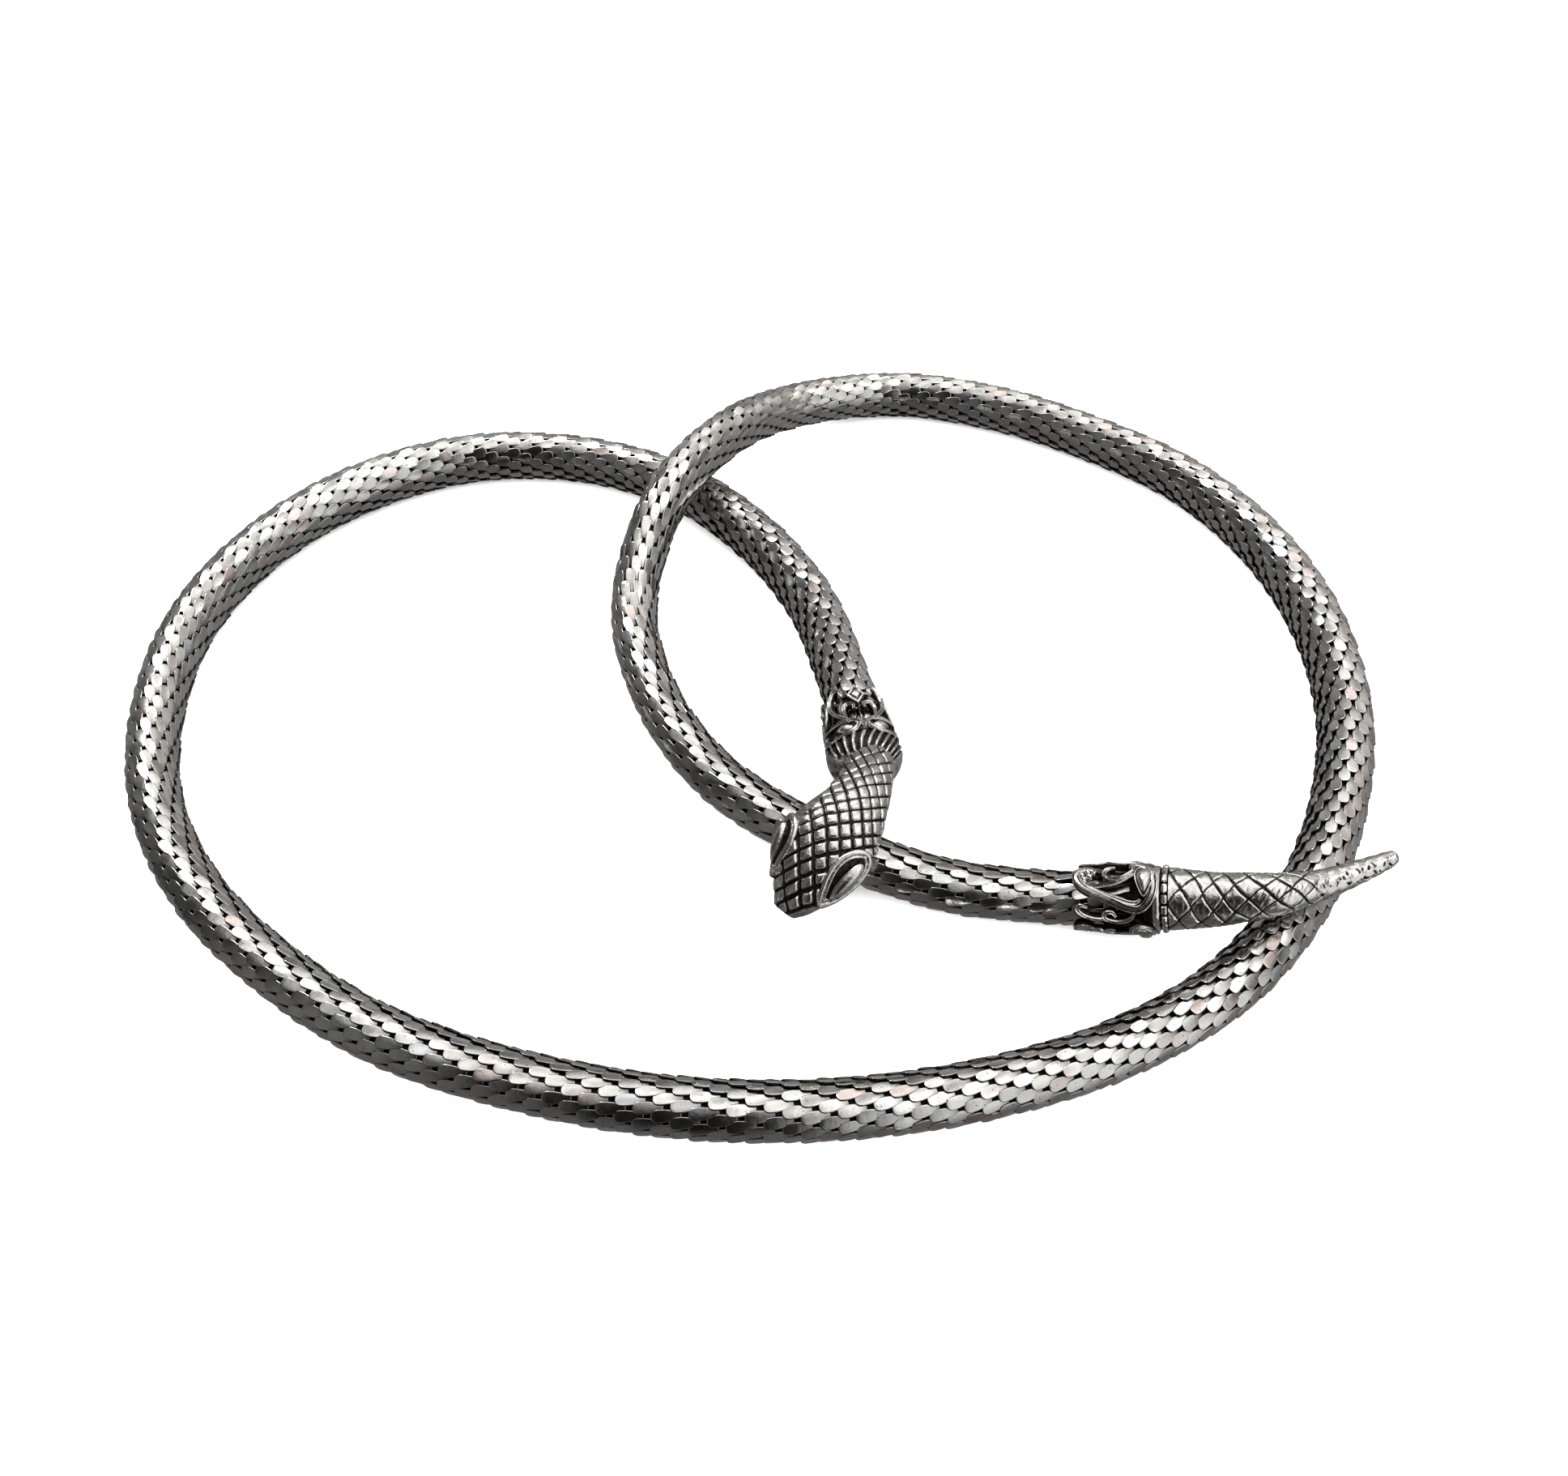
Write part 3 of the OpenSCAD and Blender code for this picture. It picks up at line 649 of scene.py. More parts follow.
def groove_place(grooves, at, axis):
    """Where each groove lies in the picture at the other coordinate, carried on straight past its ends."""
    places = []
    for groove in grooves:
        groove = np.array(groove, float)
        groove = groove[np.argsort(groove[:, 1 - axis])]
        x, y = groove[:, 1 - axis], groove[:, axis]
        place = np.interp(at, x, y)
        before = (y[1] - y[0]) / (x[1] - x[0])
        after = (y[-1] - y[-2]) / (x[-1] - x[-2])
        place += np.minimum(0, at - x[0]) * before + np.maximum(0, at - x[-1]) * after
        places.append(place)
    return places


def groove_count(value, places):
    """How many grooves lie before a point, with the fraction up to the next."""
    last = len(places) - 2
    total = np.zeros_like(value)
    for k in range(last + 1):
        width = np.maximum(places[k + 1] - places[k], LEAST_SPACE)
        share = (value - places[k]) / width
        low = -FAR if k == 0 else 0
        high = FAR if k == last else 1
        total += np.clip(share, low, high)
    return total


def groove_wall(off, low, high, wider, front):
    """0 in a groove and 1 beside it. Its edge is wider where front is 1, at the snout."""
    return smooth_step(off, low, high + wider * front)


def carry_over(values, seen, angles, slope):
    """Past the last angle that the camera sees at each station, values go on at the given slope."""
    out = values.copy()
    for row, mask in zip(out, seen):
        known = np.flatnonzero(mask)
        if len(known) == 0:
            continue
        first, last = known[0], known[-1]
        row[:first] = row[first] + slope * (angles[:first] - angles[first])
        row[last + 1:] = row[last] + slope * (angles[last + 1:] - angles[last])
    return out


def closed_loop(rows, steps=14):
    """A closed smooth curve through rows."""
    rows = np.asarray(rows, float)
    padded = np.vstack([rows[-2:], rows, rows[:3]])
    u = 2 + np.arange(len(rows) * steps) / steps
    return curve(padded, u)


def inside_distance(s, w, loop):
    """Distance from points to a closed outline, positive inside it."""
    flat = np.column_stack([s.ravel(), w.ravel()])
    nearest = np.full(len(flat), 1e9)
    turns = np.zeros(len(flat), int)
    for (x0, y0), (x1, y1) in zip(loop, np.roll(loop, -1, axis=0)):
        dx, dy = x1 - x0, y1 - y0
        t = np.clip(((flat[:, 0] - x0) * dx + (flat[:, 1] - y0) * dy) / (dx * dx + dy * dy), 0, 1)
        nearest = np.minimum(nearest, np.hypot(flat[:, 0] - x0 - t * dx, flat[:, 1] - y0 - t * dy))
        crosses = (y0 > flat[:, 1]) != (y1 > flat[:, 1])
        slope = dx / dy if dy else 0.0
        turns += crosses & (flat[:, 0] < x0 + (flat[:, 1] - y0) * slope)
    return np.where(turns % 2 == 1, nearest, -nearest).reshape(s.shape)


def ridge(d, middle, half, height):
    """A round ridge of the given half width around a distance."""
    x = np.clip((d - middle) / half, -1, 1)
    return height * np.sqrt(1 - x * x)


def eye_outline(rows, hand, run, girth):
    """A closed outline on one side of the head, as run along it and way around it."""
    return np.array([[np.interp(u, *run), hand * math.radians(a) * np.interp(u, *girth)]
                     for u, a in closed_loop(rows)])


def eye_relief(s, w, h, value, run, girth):
    """Adds both eyes to the head's relief: a double rim, a dark bed and a polished ball."""
    for hand in (-1, 1):
        d = inside_distance(s, w, eye_outline(EYE_RIM, hand, run, girth))
        e = inside_distance(s, w, eye_outline(EYE_BALL, hand, run, girth))
        bed = smooth_step(d, *EYE_BED_EDGE)
        h = h * (1 - bed) + bed * EYE_BED
        value = value * (1 - bed) + bed * EYE_BED_SHADE
        for middle, half, height in EYE_RIDGES:
            lift = ridge(d, middle, half, height)
            near = np.abs(d - middle) < half
            h = np.where(near, np.maximum(h, EYE_BED + EYE_RIDGE_BASE + lift), h)
            value = np.where(near, np.maximum(value, lift / height * EYE_RIDGE_SHADE), value)
        rise = np.clip(e / EYE_REACH, 0, 1)
        dome = EYE_BED + EYE_BALL_BASE + EYE_HEIGHT * np.sqrt(1 - (1 - rise) ** 2)
        h = np.where(e > 0, np.maximum(h, dome), h)
        value = np.where(e > 0, np.maximum(value, smooth_step(e, *EYE_BALL_EDGE)), value)
    return h, value


def head_relief(u, a, base):
    """The head's scales as the photo shows them: raised blocks between grooves, and the eyes."""
    normal = cast_normal(HEAD_ROWS, u, a)
    facing = (normal * unit(np.array(CAMERA_AT) - base)).sum(axis=-1)
    x, y = picture(base)
    seen = (facing > SEEN_LIMIT) & (np.abs(a) < HEAD_SPAN)
    column = groove_count(x, groove_place(HEAD_COLUMNS, y, 0))
    line = groove_count(y, groove_place(HEAD_LINES, x, 1))
    column = carry_over(column, seen, a[0], UNSEEN_GROOVES)
    line = carry_over(line, seen, a[0], 0.0)
    across = np.abs(column - np.round(column))
    along = np.abs(line - np.round(line))
    end = len(HEAD_LINES) - 1
    front = smooth_step(line, SNOUT_LINE, end)
    wall = groove_wall(across, *COLUMN_GROOVE, front) * groove_wall(along, *LINE_GROOVE, front)
    side = smooth_step(np.abs(a), HEAD_SPAN - SPAN_FADE, HEAD_SPAN)
    low, high = LINE_FADE
    kept = (1 - side) * (smooth_step(line, low, high) * (1 - smooth_step(line, end - high, end - low)))
    bare = 1 - smooth_step(column + BARE_SLOPE * line, *BARE_EDGE)
    cheek = 1 - smooth_step(column, *CHEEK_EDGE)
    kept = kept * (1 - bare)
    dome = HEAD_DOME_H * np.sin(math.pi * np.clip(across, 0, 0.5)) * np.sin(math.pi * np.clip(along, 0, 0.5))
    rise = wall * (HEAD_SCALE_H + SNOUT_SCALE_H * front) + dome * wall
    low, high = LIP_EDGE
    lip = smooth_step(line, end + low, end + high)
    h = rise * kept * (1 - CHEEK_FLATTER * cheek) + LIP_H * lip
    shade = SCALE_TOP_SHADE * wall * kept + BARE_SHADE * bare + UNDERSIDE_SHADE * side + LIP_SHADE * lip
    value = np.clip(shade, 0, 1)
    stations = u[:, 0]
    middle = curve(HEAD_ROWS, stations)
    run = run_along(middle[:, :3])
    girth = (middle[:, 3] + middle[:, 4]) / 2
    s = np.broadcast_to(run[:, None], u.shape)
    return eye_relief(s, a * girth[:, None], h, value, (stations, run), (stations, girth))


def build_head():
    """The cast head and neck, finely divided on top and coarsely below."""
    stations = np.linspace(0, len(HEAD_ROWS) - 1, HEAD_STATIONS)
    top = np.linspace(-HEAD_SPAN, HEAD_SPAN, HEAD_TOP_ANGLES)
    below = np.linspace(HEAD_SPAN, 2 * math.pi - HEAD_SPAN, HEAD_LOW_ANGLES)[1:-1] - 2 * math.pi
    angles = np.concatenate([below, top])
    points, faces, values = cast_body(HEAD_ROWS, stations, angles, head_relief, HEAD_TIP)
    return make_piece("head_casting", points, faces, cast_metal, ["head"], values, sharp=50)


# The tail's grid of points and the run of its rounded tip
TAIL_STATIONS = 250
TAIL_ANGLES = 156
TAIL_TIP = 0.9
# Its two families of grooves: run between grooves, grooves around, offset
TAIL_GROOVES = [(3.3, -5, -0.31), (4.3, 6, -0.76)]
# Distance across the slanted grooves as a share of that along the tail, and the grooves' edge
GROOVE_SLANT = 0.72
GROOVE_EDGE = (0.04, 0.24)
# A patch of fine hatching: lines a millimetre, turn of the lines, middle and reach along and around
HATCH_LINES = 1.15
HATCH_TURN = 2.2
HATCH_MIDDLE = (17, 0.6)
HATCH_REACH = (3.5, 0.4)
HATCH_EDGE = (0.04, 0.16)
HATCH_DEPTH = 0.8
# The run over which the pattern gives way to the hammered tip
TAIL_WORN = (21, 25)
# Heights: plain surface, grooves, pits, and waves at the tip, between the grooves and all over
TAIL_RISE = 0.2
TAIL_CUT = 0.3
TAIL_PIT = 0.16
TIP_WAVE = 0.05
SCALE_WAVE = 0.045
FINE_WAVE = 0.02
# How much darker grooves and pits are
CUT_DARK = 1.15
PIT_DARK = 0.9


def tail_relief(u, a, base):
    """The tail's incised lozenges, worn off towards its tip, and the tip's hammered pits.

    Each sine has wave numbers along and around of its own.
    """
    s = np.broadcast_to(run_along(curve(TAIL_ROWS, u[:, 0])[:, :3])[:, None], u.shape)
    sway = 0.25 * np.sin(1.1 * s + 2 * a) + 0.15 * np.sin(2.3 * s - 3 * a + 1)
    cut = np.zeros_like(s)
    for step, around, offset in TAIL_GROOVES:
        count = (s + sway * 0.5) / step + around * a / (2 * math.pi) + offset
        off = np.abs(count - np.round(count)) * step * GROOVE_SLANT
        cut = np.maximum(cut, 1 - smooth_step(off, *GROOVE_EDGE))
    hatch = np.abs((s * HATCH_LINES + a * HATCH_TURN) % 1 - 0.5) / HATCH_LINES
    along = (s - HATCH_MIDDLE[0]) / HATCH_REACH[0]
    around = (a - HATCH_MIDDLE[1]) / HATCH_REACH[1]
    patch = np.exp(-along ** 2 - around ** 2)
    cut = np.maximum(cut, (1 - smooth_step(hatch, *HATCH_EDGE)) * patch * HATCH_DEPTH)
    worn = smooth_step(s, *TAIL_WORN)
    dent = np.sin(3.1 * s + 1.9 * np.sin(3 * a + 1.3 * s)) * np.sin(4 * a - 2.2 * s + 1.5 * np.sin(1.9 * s))
    pits = smooth_step(dent, 0.5, 0.8) * worn * (0.35 + 0.65 * smooth_step(np.sin(a), -0.2, 0.5))
    h = TAIL_RISE - TAIL_CUT * cut * (1 - worn) - TAIL_PIT * pits + TIP_WAVE * worn * np.sin(2.6 * s + 2 * a)
    h = h - SCALE_WAVE * (1 - worn) * np.sin(3.7 * s + 4 * a) * np.sin(1.9 * s - 3 * a)
    h = h - FINE_WAVE * np.sin(9.1 * s + 7 * a + 2 * np.sin(2 * s)) * np.sin(5.3 * s - 11 * a)
    return h, np.clip(1 - CUT_DARK * cut * (1 - worn) - PIT_DARK * pits, 0, 1)


def build_tail():
    """The cast pointed tail."""
    stations = np.linspace(0, len(TAIL_ROWS) - 1, TAIL_STATIONS)
    angles = -math.pi + 2 * math.pi * np.arange(TAIL_ANGLES) / TAIL_ANGLES
    points, faces, values = cast_body(TAIL_ROWS, stations, angles, tail_relief, TAIL_TIP)
    return make_piece("tail_casting", points, faces, cast_metal, ["tail"], values, sharp=50)


# Collars


class Sleeve:
    """A collar's axis, and points around it. Its sides are shorter than its top by the squash."""

    def __init__(self, ends, squash, inner, radius):
        self.start, goal = np.array(ends, float)
        self.heading = unit(goal - self.start)
        self.length = np.linalg.norm(goal - self.start)
        self.side, self.top = side_and_up(self.heading)
        self.squash = squash
        self.inner = inner
        self.radius = radius

    def point(self, across, along, r, turn):
        """The point drawn at across and along, at radius r, with the drawing turned by degrees."""
        across, along, r = np.broadcast_arrays(across, along, r)
        a = np.radians(turn) + across / UNROLL_R
        v = along * (1 - self.squash * (1 - np.maximum(0, np.cos(a))))
        ring = np.sin(a)[..., None] * self.side + np.cos(a)[..., None] * self.top
        return self.start + v[..., None] * self.heading + r[..., None] * ring


# Sections of a scroll and of a ribbon: place across as a share of its half width, depth under its top,
# brightness. Where the depth is None, the point lies on the sleeve's inner radius
SCROLL_SECTION = [
    [-1, None, 0.05], [-1, 0.45, 0.25], [-0.85, 0.12, 0.8], [-0.55, 0, 1], [-0.25, 0.1, 0.8],
    [0, 0.22, 0.25], [0.25, 0.1, 0.8], [0.55, 0, 1], [0.85, 0.12, 0.8], [1, 0.45, 0.25], [1, None, 0.05],
]
RIBBON_SECTION = [
    [-1, None, 0.05], [-1, 0.5, 0.2], [-0.88, 0.06, 1], [-0.7, 0, 1], [-0.5, 0.28, 0.1],
    [-0.3, 0.04, 1], [0, 0, 1], [0.3, 0.04, 1], [0.5, 0.28, 0.1], [0.7, 0, 1], [0.88, 0.06, 1],
    [1, 0.5, 0.2], [1, None, 0.05],
]
# Rows of a path over which a scroll grows from its thin end to its width
SCROLL_TAPER = 1.2
# Rings and sides of a bead
BALL_RINGS = 7
BALL_SIDES = 12


def add_scroll(form, sleeve, path, hand, turn, width, rise, section=SCROLL_SECTION, steps=9, thin=0.55):
    """A ridged scroll along a drawn path on the sleeve, thinner at its ends."""
    last = len(path) - 1
    u = np.linspace(0, last, last * steps + 1)
    p = curve(path, u)
    d = unit(curve(path, u + STEP) - curve(path, u - STEP))
    n = np.stack([-d[:, 1], d[:, 0]], axis=1)
    ends = np.minimum(u, last - u)
    half = width / 2 * (thin + (1 - thin) * smooth_step(ends, 0, SCROLL_TAPER))
    top = table_at(sleeve.radius, p[:, 1], 1) + rise
    rings, values = [], []
    for share, depth, value in section:
        r = np.full(len(u), sleeve.inner) if depth is None else top - depth * half / (width / 2)
        spot = p + n * (half * share)[:, None]
        rings.append(sleeve.point(hand * spot[:, 0], spot[:, 1], r, turn))
        values.append(np.full(len(u), value))
    faces = stack_faces(len(u), len(section)) + end_faces(len(u), len(section))
    form.add(np.stack(rings, axis=1), faces, np.stack(values, axis=1).ravel())


def add_ball(form, centre, radius):
    """A small round bead, bright all over."""
    points = []
    for j in range(BALL_RINGS + 1):
        tilt = math.pi * j / BALL_RINGS
        for k in range(BALL_SIDES):
            a = 2 * math.pi * k / BALL_SIDES
            points.append([math.sin(tilt) * math.cos(a), math.sin(tilt) * math.sin(a), math.cos(tilt)])
    form.add(np.asarray(centre) + radius * np.array(points), stack_faces(BALL_RINGS + 1, BALL_SIDES), 1.0)


def add_stone(form, sleeve, at, turn, levels, sides, power, taper=0.0):
    """A raised stone on the sleeve. Power 1 gives a lozenge and 2 an oval, and taper narrows one end."""
    across, along, half_w, half_l = at
    a = 2 * math.pi * np.arange(sides) / sides
    cos, sin = np.cos(a), np.sin(a)
    reach = (np.abs(cos) ** power + np.abs(sin) ** power) ** (-1 / power)
    base = float(table_at(sleeve.radius, along, 1))
    rings, values = [], []
    for share, height, value in levels:
        r = sleeve.inner if height is None else base + height
        spread = half_l * share * sin * reach * (1 - taper * cos)
        rings.append(sleeve.point(across + half_w * share * cos * reach, along + spread, r, turn))
        values.append(np.full(sides, value))
    faces = stack_faces(len(levels), sides) + end_faces(len(levels), sides)
    form.add(np.vstack(rings), faces, np.concatenate(values))


# Paths of the collars' scrolls, as way across and run along. Each lobe is repeated at these turns
LOBE_TURNS = (0, 120, 240)
HEAD_C = [[1.2, 2.9], [2.9, 2.3], [3, 1.1], [4.1, 0.3], [5.6, 1.7], [5.9, 4.2], [4.7, 6.8], [2.7, 9.2],
          [2.2, 10.4]]
HEAD_CURL = [[1.1, 7], [1, 5.7], [2.2, 5.4], [2.9, 6.8], [2.5, 9.6]]
HEAD_LEAF = [[6.6, 10], [4, 9.5], [1.7, 9.7], [0.8, 11], [2.2, 12.6], [6.6, 13.6]]
# Stones: place across and along, half width and half length
HEAD_STONE = [0, 3.2, 1.7, 2.5]
HEAD_DROP = [3.6, 11.2, 2.9, 1.7]
# A bead: place across and along, radius
HEAD_BEAD = [3, 2.3, 0.55]
HEAD_STEM = [[0, 9.4], [0.05, 10.4], [-0.05, 11.6], [0, 12.6]]
TAIL_RIBBON = [[-3.2, 3.6], [-3.6, 2.3], [-3.1, 1.1], [-1.8, 0.75], [-0.4, 1.2], [0.9, 2.4], [2.2, 4.7],
               [3.3, 7.1], [4.3, 9.4], [4.5, 11.2], [3.5, 12.5], [2, 13.2], [0.3, 13.5], [-1.8, 13.3],
               [-3.6, 12.6], [-4.5, 11.2], [-4.2, 10.2], [-2.9, 9.9]]
TAIL_RIBBON_W = 1.5
TAIL_INNER = [[-0.2, 2.1], [1.2, 4.1], [2, 5.9], [2.7, 7.8], [3.3, 9.4], [3.4, 10.6], [2.8, 11.5]]
TAIL_CURL = [[-3.4, 7.2], [-3.1, 5.9], [-1.9, 5.5], [-0.9, 6.6], [-0.9, 7.9], [-1.6, 9.1], [-2.8, 10.2]]
TAIL_LINK = [[-3.2, 3.4], [-2.9, 4.6], [-2, 5.6]]
TAIL_BRANCH = [[-1.9, 10.5], [-0.9, 8.8], [0, 7.2], [0.3, 5.4], [0.4, 3.9], [-0.2, 2.6], [-1, 1.9]]
TAIL_BETWEEN = [[5, 10.6], [6.6, 9.6], [7.2, 7.6], [6.6, 5.8], [5.5, 5.6], [5.2, 6.8], [6, 7.5]]
TAIL_SIDE = [[6.6, 5.8], [6.9, 4], [6.3, 2.2], [5.1, 1.1], [4.2, 1.6], [4.5, 2.8]]
TAIL_THIN = [TAIL_INNER, TAIL_CURL, TAIL_LINK, TAIL_BRANCH, TAIL_BETWEEN, TAIL_SIDE]
TAIL_THIN_W = 0.95
TAIL_THIN_RISE = -0.1
TAIL_BOSS = [-0.9, 12, 2.5, 1.15]
TAIL_BEADS = [[-2.4, 1.6, 0.65], [-1.25, 2.1, 0.6], [-1.8, 3, 0.6], [-0.5, 2.2, 0.5], [-2.8, 2.7, 0.5],
              [-2.5, 3.7, 0.45]]
# Turn of the tail's drawing in degrees, how much shorter the head's collar is at its sides, and the
# width of its scrolls
TAIL_TURN = 15
HEAD_SQUASH = 0.18
SCROLL_W = 0.95
HEAD_CURL_RISE = 0.12
# Levels of the stones: share of the size, height over the sleeve or its inner radius, brightness
DIAMOND_LEVELS = [[1, None, 0.05], [1, -0.2, 0.3], [0.94, 0.28, 1], [0.76, 0.3, 1], [0.62, -0.05, 0.1],
                  [0.56, 0.0, 0.3], [0.4, 0.38, 1], [0.12, 0.5, 1]]
DROP_LEVELS = [[1, None, 0.05], [1, -0.55, 0.1], [0.62, -0.5, 0.15], [0.5, -0.2, 0.8], [0.3, 0, 1],
               [0.1, 0.05, 1]]
BOSS_LEVELS = [[1.4, None, 0.05], [1.4, -0.35, 0.2], [1.3, -0.02, 1], [1.2, -0.02, 1], [1.1, -0.3, 0.1],
               [1, -0.25, 0.3], [0.85, 0.15, 0.9], [0.55, 0.38, 1], [0.2, 0.46, 1]]
# The closed shoulder's outer profile along the top: run, radius, brightness
# Towards the tip its brightness falls: painted shade where the dome curves in under the neck
SHOULDER = [
    [11.6, 5.9, 0.1], [11.65, 6.15, 0.4], [12.2, 6.4, 0.8], [12.8, 6.6, 1], [13.4, 6.75, 1], [14, 6.87, 1],
    [14.6, 6.94, 1], [15.2, 6.93, 1], [15.8, 6.84, 1], [16.4, 6.64, 1], [17, 6.3, 0.9], [17.6, 5.8, 0.8],
    [18.2, 5.15, 0.7], [18.8, 4.3, 0.6], [19.4, 3.1, 0.5], [19.8, 1.9, 0.5],
]
# Runs at which it has rings, where its inside starts and ends, where it stops being shorter at its
# sides, and its tip
SHOULDER_STOPS = [11.6, 11.65, *np.arange(11.9, 17.7, 0.16), 18.2, 18.8, 19.4, 19.8]
SHOULDER_SEAM = 11.6
SHOULDER_FLOOR = 13.4
SHOULDER_START = 13.6
SHOULDER_TIP = 20.0
# Its flutes: number, points around each, height, and how they fan out and lean with the run
FLUTES = 19
FLUTE_STEPS = 20
FLUTE_H = 0.45
FLUTE_FAN = 0.12
FLUTE_FAN_START = 12
FLUTE_MIDDLE = 0.1
FLUTE_LEAN = 0.07
FLUTE_LEAN_START = 14
# Runs over which they start and end, how much sooner they end on the left side and on both sides, and
# the turn from the top over which they do, in radians
FLUTES_BEGIN = (11.7, 12.3)
FLUTES_END = (17.4, 18.8)
SOONER_LEFT = 1.4
SOONER_SIDES = 3.2
SIDES_TURN = (0.9, 1.6)
# Sine of the turn on the darker side, the left as the camera sees it, and its cosine at the underside's edge
LEFT_EDGE = (0.25, 0.8)
UNDER_EDGE = (-0.75, -0.4)
# Brightness: loss on the left side and between the flutes, and painted shade at the tip
LEFT_DARKENING = 0.4
FLUTE_DARK = 0.95
SHOULDER_TIP_SHADE = 0.5


def shoulder_ring(sleeve, a, v, r):
    """A ring at run v of the top. It is shorter at the sides up to a run, and then it evens out."""
    squeezed = 1 - HEAD_SQUASH * (1 - np.maximum(0, np.cos(a)))
    around = np.sin(a)[:, None] * sleeve.side + np.cos(a)[:, None] * sleeve.top
    stretch = (SHOULDER_TIP - SHOULDER_START * squeezed) / (SHOULDER_TIP - SHOULDER_START)
    run = np.minimum(v, SHOULDER_START) * squeezed + max(0, v - SHOULDER_START) * stretch
    return sleeve.start + run[:, None] * sleeve.heading + np.broadcast_to(r, len(a))[:, None] * around


def add_shoulder(form, sleeve):
    """The closed shoulder of the head's collar: thin flutes that fade into a plain dome."""
    n = FLUTES * FLUTE_STEPS
    a = 2 * math.pi * np.arange(n) / n
    turn = (a + math.pi) % (2 * math.pi) - math.pi
    left = smooth_step(np.sin(a), *LEFT_EDGE)
    sooner = SOONER_LEFT * left + SOONER_SIDES * smooth_step(np.abs(turn), *SIDES_TURN)
    upper = smooth_step(np.cos(a), *UNDER_EDGE)
    rings = [shoulder_ring(sleeve, a, v, sleeve.inner) for v in (SHOULDER_FLOOR, SHOULDER_SEAM)]
    values = [np.full(n, INSIDE_SHADE)] * 2
    for v in SHOULDER_STOPS:
        r = float(table_at(SHOULDER, v, 1))
        # The profile's brightness, with painted shade towards the tip, made darker on the left side
        value = float(table_at(SHOULDER, v, 2)) * (1 - LEFT_DARKENING * left)
        fan = 1 + FLUTE_FAN * max(0, v - FLUTE_FAN_START)
        phase = FLUTES * ((turn - FLUTE_MIDDLE) * fan - FLUTE_LEAN * (v - FLUTE_LEAN_START))
        valley = 1 - (0.5 + 0.5 * np.cos(phase)) ** 2
        fluted = smooth_step(v, *FLUTES_BEGIN) * (1 - smooth_step(v + sooner, *FLUTES_END)) * upper
        rings.append(shoulder_ring(sleeve, a, v, r - FLUTE_H * valley * fluted))
        values.append(value * (1 - FLUTE_DARK * valley * fluted))
    count = len(rings)
    rings.append([sleeve.start + sleeve.heading * SHOULDER_TIP,
                  sleeve.start + sleeve.heading * SHOULDER_FLOOR * (1 - HEAD_SQUASH / 2)])
    values.append([SHOULDER_TIP_SHADE, START_SHADE])
    form.add(np.vstack(rings), stack_faces(count, n) + point_faces(count, n), np.concatenate(values))


def build_head_collar():
    """The collar at the head: its shoulder, and three lobes of scrolls around the strand."""
    sleeve = Sleeve(HEAD_AXIS, HEAD_SQUASH, MESH_R + COLLAR_GAP, HEAD_RADIUS)
    form = Parts()
    add_shoulder(form, sleeve)
    for turn in LOBE_TURNS:
        for hand in (-1, 1):
            add_scroll(form, sleeve, HEAD_C, hand, turn, SCROLL_W, 0)
            add_scroll(form, sleeve, HEAD_CURL, hand, turn, SCROLL_W, HEAD_CURL_RISE)
            add_scroll(form, sleeve, HEAD_LEAF, hand, turn, SCROLL_W, 0)
            bead = sleeve.point(hand * HEAD_BEAD[0], HEAD_BEAD[1], sleeve.inner + HEAD_BEAD[2], turn)
            add_ball(form, bead, HEAD_BEAD[2])
            drop = [hand * HEAD_DROP[0]] + HEAD_DROP[1:]
            add_stone(form, sleeve, drop, turn, DROP_LEVELS, sides=24, power=1.6)
        add_scroll(form, sleeve, HEAD_STEM, 1, turn, SCROLL_W, 0)
        add_stone(form, sleeve, HEAD_STONE, turn, DIAMOND_LEVELS, sides=4, power=1)
    return form.piece("head_collar_scrolls", cast_metal, "cast_metal", ["head_collar"], sharp=40)


# The closed ring at the end of the tail's collar: radius, run from its end, brightness
TAIL_END_RINGS = [
    [None, -2.6, 0.1], [5.3, -2.6, 0.1], [5.35, -1.3, 0.1], [5.45, -1.1, 0.8], [5.55, -0.7, 1],
    [5.45, -0.3, 0.8], [5.1, 0, 0.2], [3.9, 0, 0.1], [3.9, -0.9, 0.05], [None, -1, 0.05],
]
# Its sides, its run past the axis' second point, and the extra gap around the strand
TAIL_END_SIDES = 96
TAIL_END_RUN = 0.3
TAIL_EXTRA_GAP = 0.05


def add_rings(form, sleeve, rows, end):
    """A closed ring turned from a section of rows. A radius of None is the sleeve's inner one."""
    n = TAIL_END_SIDES
    degrees = 360 * np.arange(n) / n
    rings, values = [], []
    for r, v, value in rows:
        r = sleeve.inner if r is None else r
        rings.append(sleeve.point(0, end + v, r, degrees))
        values.append(np.full(n, value))
    form.add(np.vstack(rings), stack_faces(len(rows), n, True), np.concatenate(values))


